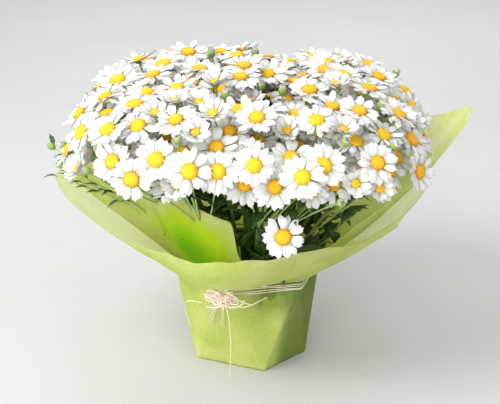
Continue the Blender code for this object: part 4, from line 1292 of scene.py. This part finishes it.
class DAISIES_OT_paper(bpy.types.Operator):
    """Make the two sheets of paper, folded under the pot, gathered at the neck and open above it"""

    bl_idname = "daisies.paper"
    bl_label = "Paper wrap"

    def execute(self, context):
        settings = context.scene.daisies_wrap
        sheets = ("outer", OUTER_SKIRT, 0.0, 0.66), ("inner", INNER_SKIRT, PAPER + PAPER_LAYER_GAP, 0.48)
        for name, skirt, inset, clear in sheets:
            finish = paper_finish(f"lime paper {name}", settings, clear)
            sheet = self.make_sheet(f"paper_{name}", skirt, inset, finish, settings)
            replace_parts(sheet, f"wrap_sheet_{name}")
        return {"FINISHED"}

    def make_sheet(self, name, skirt, inset, finish, settings):
        """Grid round the pot and up the profile: flat under the pot, facets to the neck, then a bent skirt.

        The skirt at a share t is the curve start(1-t)^2 + 2 lean t(1-t) + edge t^2.  Gathers
        take pleat depth x a sum of sines off the radius near the neck, and waves lift the edge.
        """
        columns = settings.columns
        angles = np.arange(columns)[:, None] * (360.0 / columns) - 180.0
        a = np.radians(angles)
        neck = NECK_HEIGHT + 1.3 * inset
        ground = np.linspace(0.12, 1.0, GROUND_ROWS)[None, :]
        ground_radius = ground * (facet_radius(angles, np.zeros_like(ground)) - inset)
        share = np.linspace(0.0, 1.0, WALL_ROWS + 1)[None, 1:]
        wall_radius = facet_radius(angles, share) - inset
        lean_radius, lean_height, edge_radius, edge_height = around(skirt, angles[:, 0]).T[:, :, None]
        t = np.linspace(0.0, 1.0, SKIRT_ROWS + 1)[None, 1:]
        start_radius = wall_radius[:, -1:]
        skirt_radius = start_radius * (1 - t) ** 2 + 2 * lean_radius * t * (1 - t) + edge_radius * t * t
        skirt_height = neck * (1 - t) ** 2 + 2 * lean_height * t * (1 - t) + edge_height * t * t
        pleats = wave_sum(a, PLEATS)
        gather = settings.pleat_depth * (pleats - 1.0)
        wall_radius = wall_radius + gather * smooth((share - 0.72) / 0.28)
        rise = skirt_height - neck
        skirt_radius = skirt_radius + gather * (1.0 - smooth(rise / 0.035)) ** 2
        skirt_radius = skirt_radius - 2.2 * inset * np.sin(math.pi * np.clip(rise / 0.060, 0.0, 1.0))
        folds = wave_sum(a, FOLDS)
        pocket = near(angles, POCKET_ANGLE, POCKET_SPREAD) * (1.0 if inset else 0.0)
        lean_over = near(angles, *POCKET_LIP) * (POCKET_LEAN if inset else 0.0)
        waves = 0.8 * pleats * np.sin(math.pi * np.clip(rise / 0.070, 0.0, 1.0))
        skirt_height = skirt_height + POCKET_LIFT * pocket * t * t
        skirt_height = skirt_height + settings.ruffle * folds * t ** 3 + settings.pleat_depth * waves
        radius = np.concatenate([ground_radius, wall_radius, skirt_radius], 1)
        wall_height = np.broadcast_to(inset + share * (neck - inset), wall_radius.shape)
        height = np.concatenate([np.full_like(ground_radius, inset), wall_height, skirt_height], 1)
        rows = radius.shape[1]
        up = np.concatenate([np.zeros(rows - SKIRT_ROWS), t[0]])
        points = polar(angles + lean_over * up ** 2, radius, height)
        # Depth into the pocket: the mask of the fold's painted shade in the finish
        depth = pocket * np.sin(math.pi * np.clip(up * 1.1 - 0.05, 0.0, 1.0)) ** 0.7
        thin_wall_and_painted_light = near(angles, *THIN_WALL) * smooth((height - 0.050) / 0.03) * (up <= 0.0)
        # Painted light: the turned-up band in front takes off openness, so it is less see-through and shows
        # lighter
        thin_wall_and_painted_light = thin_wall_and_painted_light - 0.50 * near(angles, *PAINTED_LIGHT_BAND) * smooth(up / 0.2)
        # Painted shade: the right-hand wall, marked by taking this off up, is painted darker by the finish
        painted_shade = near(angles, *PAINTED_SHADE_WALL) * (up <= 0.0)
        mark = np.stack([up - painted_shade, depth, thin_wall_and_painted_light], -1).reshape(-1, 3)
        index = np.arange(columns * rows).reshape(columns, rows)
        beside = np.roll(index, -1, 0)
        wall = np.stack([index[:, :-1], beside[:, :-1], beside[:, 1:], index[:, 1:]], -1).reshape(-1, 4)
        middle = columns * rows
        fan = np.stack([np.full(columns, middle), beside[:, 0], index[:, 0]], -1)
        points = np.vstack([points.reshape(-1, 3), [[0.0, 0.0, inset]]])
        sheet = mesh_of(name, points, [wall, fan], finish, np.vstack([mark, [[0.0, 0.0, 0.0]]]))
        thick = sheet.modifiers.new("paper", "SOLIDIFY")
        thick.thickness = settings.thickness
        thick.offset = -1.0
        return sheet


class DAISIES_OT_raffia(bpy.types.Operator):
    """Make the raffia wound round the neck and its loose knot"""

    bl_idname = "daisies.raffia"
    bl_label = "Raffia band and knot"

    def execute(self, context):
        settings = context.scene.daisies_raffia
        draws = np.random.default_rng(23)
        finish = raffia_finish(settings)
        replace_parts(self.make_band(settings, finish, draws), "raffia_band")
        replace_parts(self.make_knot(settings, finish, draws), "raffia_knot")
        return {"FINISHED"}

    def make_band(self, settings, finish, draws):
        """Closed strands round the neck, each a tube whose radius and height drift in slow waves."""
        strands, steps, sides = settings.strands, 192, 6
        angle = np.arange(steps) * (360.0 / steps)
        a = np.radians(angle)[None]
        top = NECK_HEIGHT - 0.001
        bottom = top - BAND_HEIGHT
        inner = np.maximum(facet_radius(angle, bottom / NECK_HEIGHT), facet_radius(angle, 1.0)) + 2 * GAP
        phase = draws.uniform(0.0, math.tau, (3, strands, 1))
        level = np.linspace(bottom + 0.0005, top - 0.0005, strands)[:, None]
        height = level + 0.0008 * np.sin(3 * a + phase[0]) + 0.0005 * np.sin(7 * a + phase[1])
        radius = inner[None] + 0.0006 + 0.0005 * (1 + np.sin(5 * a + phase[2]))
        path = polar(angle[None], radius, height)
        tangent = unit(np.roll(path, -1, 1) - np.roll(path, 1, 1))
        out = across(tangent, polar(angle[None], 1.0, 0.0))
        up = np.cross(tangent, out)
        turn = turns(sides)[:, None]
        section = out[:, :, None] * np.cos(turn) * 0.00025 + up[:, :, None] * np.sin(turn) * 0.00035
        index = np.arange(strands * steps * sides).reshape(strands, steps, sides)
        onward = np.roll(index, -1, 1)
        wall = np.stack([index, np.roll(index, -1, 2), np.roll(onward, -1, 2), onward], -1).reshape(-1, 4)
        mark = marks_along(index.shape, np.arange(steps) / steps, np.arange(sides) / sides,
                           draws.uniform(0, 1, strands))
        return mesh_of("raffia_windings", path[:, :, None] + section, [wall], finish, mark)

    def make_knot(self, settings, finish, draws):
        """Tangle of short loops: from the middle out to one side, round, and back to the other side."""
        out = np.array(direction(KNOT_ANGLE))
        side = np.array(direction(KNOT_ANGLE + 90.0))
        up = np.array([0.0, 0.0, 1.0])
        centre = np.mean([np.array(corner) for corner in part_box("raffia_knot")], axis=0) + (up + out) * 0.003
        count, ends, steps, sides = settings.knot_fibres, 16, 16, 6
        way = draws.uniform(0.0, math.tau, count)
        reach = draws.uniform(0.012, 0.029, count)
        tall = draws.uniform(0.005, 0.016, count)

        def spot(s, z, y):
            return centre + side * s[:, None] + up * z[:, None] + out * y[:, None]

        depth = draws.uniform(-0.003, 0.006, (4, count))
        first = spot(draws.normal(0, 0.004, count), draws.normal(0, 0.0025, count), depth[0])
        second = spot(np.cos(way) * reach, np.sin(way) * tall, depth[1])
        third = spot(np.cos(way + 0.9) * reach, np.sin(way + 0.9) * tall - 0.002, depth[2])
        last = spot(draws.normal(0.002, 0.009, count), draws.normal(-0.002, 0.005, count), depth[3])
        path = bezier(np.stack([first, second, third, last], 1), steps)
        path = path + draws.normal(0.0, 0.00025, path.shape)
        path = np.concatenate([path, self.loose_ends(ends, steps, draws)])
        count = len(path)
        thick = draws.uniform(0.00032, 0.00072, count)[:, None] * np.ones((1, steps))
        thick[-ends:] *= 0.5
        stack = rods(path, thick, sides)
        mark = marks_along(stack.shape[:3], np.linspace(0, 1, steps), np.arange(sides) / sides,
                           draws.uniform(0, 1, count))
        return mesh_of("raffia_loops", stack, tube_faces(count, steps, sides), finish, mark)

    def loose_ends(self, count, steps, draws):
        """Short ends that fan out down the paper below the knot, each a straight line on the paper."""
        share = np.linspace(0.0, 1.0, steps)[None]
        angle = KNOT_ANGLE + draws.uniform(-24.0, 3.0, (count, 1)) * share ** 0.8
        low = draws.uniform(0.046, 0.080, (count, 1))
        height = NECK_HEIGHT - 0.006 + (low - NECK_HEIGHT + 0.006) * share
        radius = facet_radius(angle, height / NECK_HEIGHT) + 0.0010 + 0.0060 * (1.0 - share) ** 2
        return polar(angle, radius, height)


class DAISIES_OT_flowers(bpy.types.Operator):
    """Make the petals, discs and stalks of every spray, and the leaves on its main stem"""

    bl_idname = "daisies.flowers"
    bl_label = "Daisies"

    def execute(self, context):
        flower_settings = context.scene.daisies_flowers
        leaf_settings = context.scene.daisies_leaves
        draws = np.random.default_rng(5)
        petal, disc = petal_finish(flower_settings), disc_finish(flower_settings)
        stem, leaf = stem_finish(leaf_settings), leaf_finish(leaf_settings)
        axes, flowers = arrange_flowers()
        fill_gaps(axes, flowers)
        for number, axis in enumerate(axes, start=1):
            own = [f for f in flowers if f["spray"] == number - 1]
            if not any("filler" not in f for f in own):
                raise RuntimeError(f"main stem {number} has no flower")
            pieces = [
                make_petals(f"petals_{number:02d}", own, petal, flower_settings, draws),
                make_discs(f"discs_{number:02d}", own, disc, draws),
                make_stalks(f"stalks_{number:02d}", axis, own, stem, draws),
                self.make_spray_leaves(f"leaves_{number:02d}", axis, own, leaf, leaf_settings, draws),
            ]
            for piece in pieces:
                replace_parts(piece, f"daisy_spray_{number:02d}")
        return {"FINISHED"}

    def make_spray_leaves(self, name, axis, flowers, finish, settings, draws):
        """Leaves from the main stem and the pedicels, which point out between the flowers."""
        axis = np.array(axis, float)
        foot = np.array(SPREAD_POINT, float)
        place, *_, fork = flower_arrays(flowers)
        count = settings.leaves_each
        top = np.linalg.norm(fork - foot, axis=1).max()
        along_stem = foot + axis * draws.uniform(top * 0.62, top, count)[:, None]
        pick = draws.integers(0, len(place), count)
        share = draws.uniform(0.15, 0.62, count)[:, None]
        on_pedicel = fork[pick] * (1 - share) + place[pick] * share
        on_stem = (np.arange(count) % 2 == 0)[:, None]
        base = np.where(on_stem, along_stem, on_pedicel)
        turn = draws.uniform(0.0, math.tau, count)
        level = across(axis, np.array([1.0, 0.2, 0.1]))
        other = np.cross(axis, level)
        out = level * np.cos(turn)[:, None] + other * np.sin(turn)[:, None]
        along = out * draws.uniform(0.35, 0.9, count)[:, None] + axis
        length = draws.uniform(0.75, 1.2, count) * settings.leaf_length
        return make_leaves(name, base, along, length, length * draws.uniform(0.36, 0.5, count), finish, draws)


class DAISIES_OT_foliage(bpy.types.Operator):
    """Make the leafy shoots round the sprays, the side twigs and the leaves over the pot's rim"""

    bl_idname = "daisies.foliage"
    bl_label = "Shoots and leaves"

    def execute(self, context):
        settings = context.scene.daisies_leaves
        draws = np.random.default_rng(17)
        stem = bpy.data.materials["daisy stalk"]
        leaf = bpy.data.materials["daisy leaf"]
        rings, sides, count = 12, 6, 9
        for number, (angle, radius, height) in enumerate(SHOOTS, start=1):
            foot = np.array(at(angle, SHOOT_FOOT_RADIUS, SOIL_TOP - 0.001))
            knee = np.array(at(angle, *SHOOT_KNEE))
            tip = np.array(at(angle, radius, height))
            path = bezier(np.array([[foot, knee - (0, 0, 0.004), knee, tip]]), rings)
            tube = rods(path, np.linspace(*SHOOT_RADII, rings)[None], sides)
            mark = np.broadcast_to(np.array([0.3, 0.7, 0.0]), (rings * sides, 3))
            name = f"shoot_stalk_{number:02d}"
            stalk = mesh_of(name, tube, tube_faces(1, rings, sides), stem, mark)
            share = np.linspace(0.35, 1.0, count)
            base = path[0][np.round(share * (rings - 1)).astype(int)]
            axis = unit(tip - knee)
            sideways = np.array(direction(angle + 90.0)) * np.where(np.arange(count) % 2, 1.0, -1.0)[:, None]
            along = axis * 0.8 + sideways * draws.uniform(0.2, 0.9, count)[:, None] * (1.3 - share[:, None])
            along = along - np.array(direction(angle)) * 0.35 + draws.normal(0.0, 0.18, (count, 3))
            length = draws.uniform(0.8, 1.15, count) * settings.leaf_length * 0.9
            name = f"shoot_leaves_{number:02d}"
            for piece in (stalk, make_leaves(name, base, along, length, length * 0.42, leaf, draws)):
                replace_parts(piece, f"leaf_shoot_{number:02d}")
        self.make_twigs(settings, stem, leaf, draws)
        self.make_rim_leaves(leaf)
        return {"FINISHED"}

    def make_twigs(self, settings, stem, leaf, draws):
        """Thin twigs that reach out over the left wing, with narrow leaves and green buds."""
        rings, sides = 14, 6
        paths = bezier(np.array([points for _, points in TWIGS]), rings)
        tubes = rods(paths, np.broadcast_to(np.linspace(*TWIG_RADII, rings), (len(TWIGS), rings)), sides)
        tips = paths[[k for k, (end, _) in enumerate(TWIGS) if end == "bud"]]
        look = unit(tips[:, -1] - tips[:, -2])
        level = across(look, np.array([[0.2, 0.1, 1.0]]))
        share, rise = np.array(BUD_PROFILE).T[:, None, :, None]
        buds = turned(tips[:, -1], look, level, np.cross(look, level), BUD_RADIUS * share, rise,
                      turns(BUD_SIDES)[None])
        stalks, ends = tubes.reshape(-1, 3), buds.reshape(-1, 3)
        sets = tube_faces(len(TWIGS), rings, sides)
        sets += tube_faces(len(tips), len(BUD_PROFILE), BUD_SIDES, len(stalks))
        mark = np.repeat([[0.5, 0.5, 0.0], [0.2, 0.1, 0.0]], [len(stalks), len(ends)], axis=0)
        mesh_of("side_twigs", np.concatenate([stalks, ends]), sets, stem, mark)
        leaf_rings = [9, 11, 12, 13]
        spot = np.tile(leaf_rings, len(TWIGS))
        which = np.repeat(np.arange(len(TWIGS)), len(leaf_rings))
        base = paths[which, spot]
        axis = unit(paths[which, spot] - paths[which, spot - 1])
        along = axis + draws.normal(0.0, 0.35, (len(which), 3))
        length = draws.uniform(0.55, 0.9, len(which)) * settings.leaf_length * 0.62
        make_leaves("side_twig_leaves", base, along, length, length * 0.26, leaf, draws, loose=True)

    def make_rim_leaves(self, finish):
        """Leaves that hang over the pot's rim inside the paper, each a blade swept down its route."""
        rings = BLADE_RINGS["rim leaf"]
        shares = np.linspace(0.0, 1.0, rings)
        widths = ((0, 0.2, 0.45, 0.75, 0.93, 1.0), (0.12, 0.25, 0.55, 1.0, 0.6, 0.06))
        width = RIM_LEAF_WIDTH * np.interp(shares, *widths)
        for number, (angle, tip) in enumerate(RIM_LEAVES, start=1):
            low = np.array([RIM_LEAF_BEND, (RIM_LEAF_BEND + tip) / 2, tip])
            share = (low - 0.004) / (POT_HEIGHT - POT_RIM_DEPTH)
            pot = POT_FOOT_RADIUS + (POT_RADIUS_UNDER_RIM - POT_FOOT_RADIUS) * share
            between = pot + 0.5 * (facet_radius(float(angle), low / NECK_HEIGHT) - 0.0016 - pot)
            route = np.array([(0.0565, 0.1088), (0.0600, 0.1092), (0.0614, 0.1050), (0.0613, 0.0965),
                              *zip(between, low)])
            line = smooth_route(np.column_stack([route, np.zeros(len(route))]), rings)
            middle = polar(float(angle), line[:, 0], line[:, 1])
            tangent = unit(np.gradient(middle, axis=0))
            side = np.array(direction(angle + 90.0))
            face = np.cross(tangent, side)
            stack = (middle[:, None] + side * (0.5 * width[:, None] * BLADE_ACROSS)[..., None]
                     + face[:, None] * (BLADE_TOP * 0.00025)[None, :, None])
            piece = mesh_of(f"rim_leaf_blade_{number}", stack, tube_faces(1, rings, BLADE_SIDES), finish,
                            blade_marks(stack[None], np.array([0.3])))
            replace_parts(piece, f"rim_leaf_{number}")


class DAISIES_PT_panel(bpy.types.Panel):
    """Panel with one button for each group of pieces"""

    bl_label = "Daisies"
    bl_idname = "DAISIES_PT_panel"
    bl_space_type = "VIEW_3D"
    bl_region_type = "UI"
    bl_category = "Daisies"

    def draw(self, context):
        for operator in OPERATORS:
            self.layout.operator(operator.bl_idname)
        for name in SETTINGS:
            box = self.layout.box()
            group = getattr(context.scene, name)
            for key in group.__annotations__:
                box.prop(group, key)


SETTINGS = {
    "daisies_wrap": WrapSettings,
    "daisies_flowers": FlowerSettings,
    "daisies_leaves": LeafSettings,
    "daisies_raffia": RaffiaSettings,
    "daisies_stage": StageSettings,
}
OPERATORS = (
    DAISIES_OT_stage, DAISIES_OT_tails, DAISIES_OT_pot, DAISIES_OT_paper,
    DAISIES_OT_raffia, DAISIES_OT_flowers, DAISIES_OT_foliage,
)


def register():
    for group in SETTINGS.values():
        bpy.utils.register_class(group)
    for name, group in SETTINGS.items():
        setattr(bpy.types.Scene, name, bpy.props.PointerProperty(type=group))
    for operator in OPERATORS:
        bpy.utils.register_class(operator)
    bpy.utils.register_class(DAISIES_PT_panel)


def unregister():
    bpy.utils.unregister_class(DAISIES_PT_panel)
    for operator in reversed(OPERATORS):
        bpy.utils.unregister_class(operator)
    for name, group in reversed(SETTINGS.items()):
        delattr(bpy.types.Scene, name)
        bpy.utils.unregister_class(group)


def main():
    register()
    bpy.ops.daisies.stage()
    bpy.ops.daisies.tails()
    bpy.ops.daisies.pot()
    bpy.ops.daisies.paper()
    bpy.ops.daisies.raffia()
    bpy.ops.daisies.flowers()
    bpy.ops.daisies.foliage()


if __name__ == "__main__":
    main()
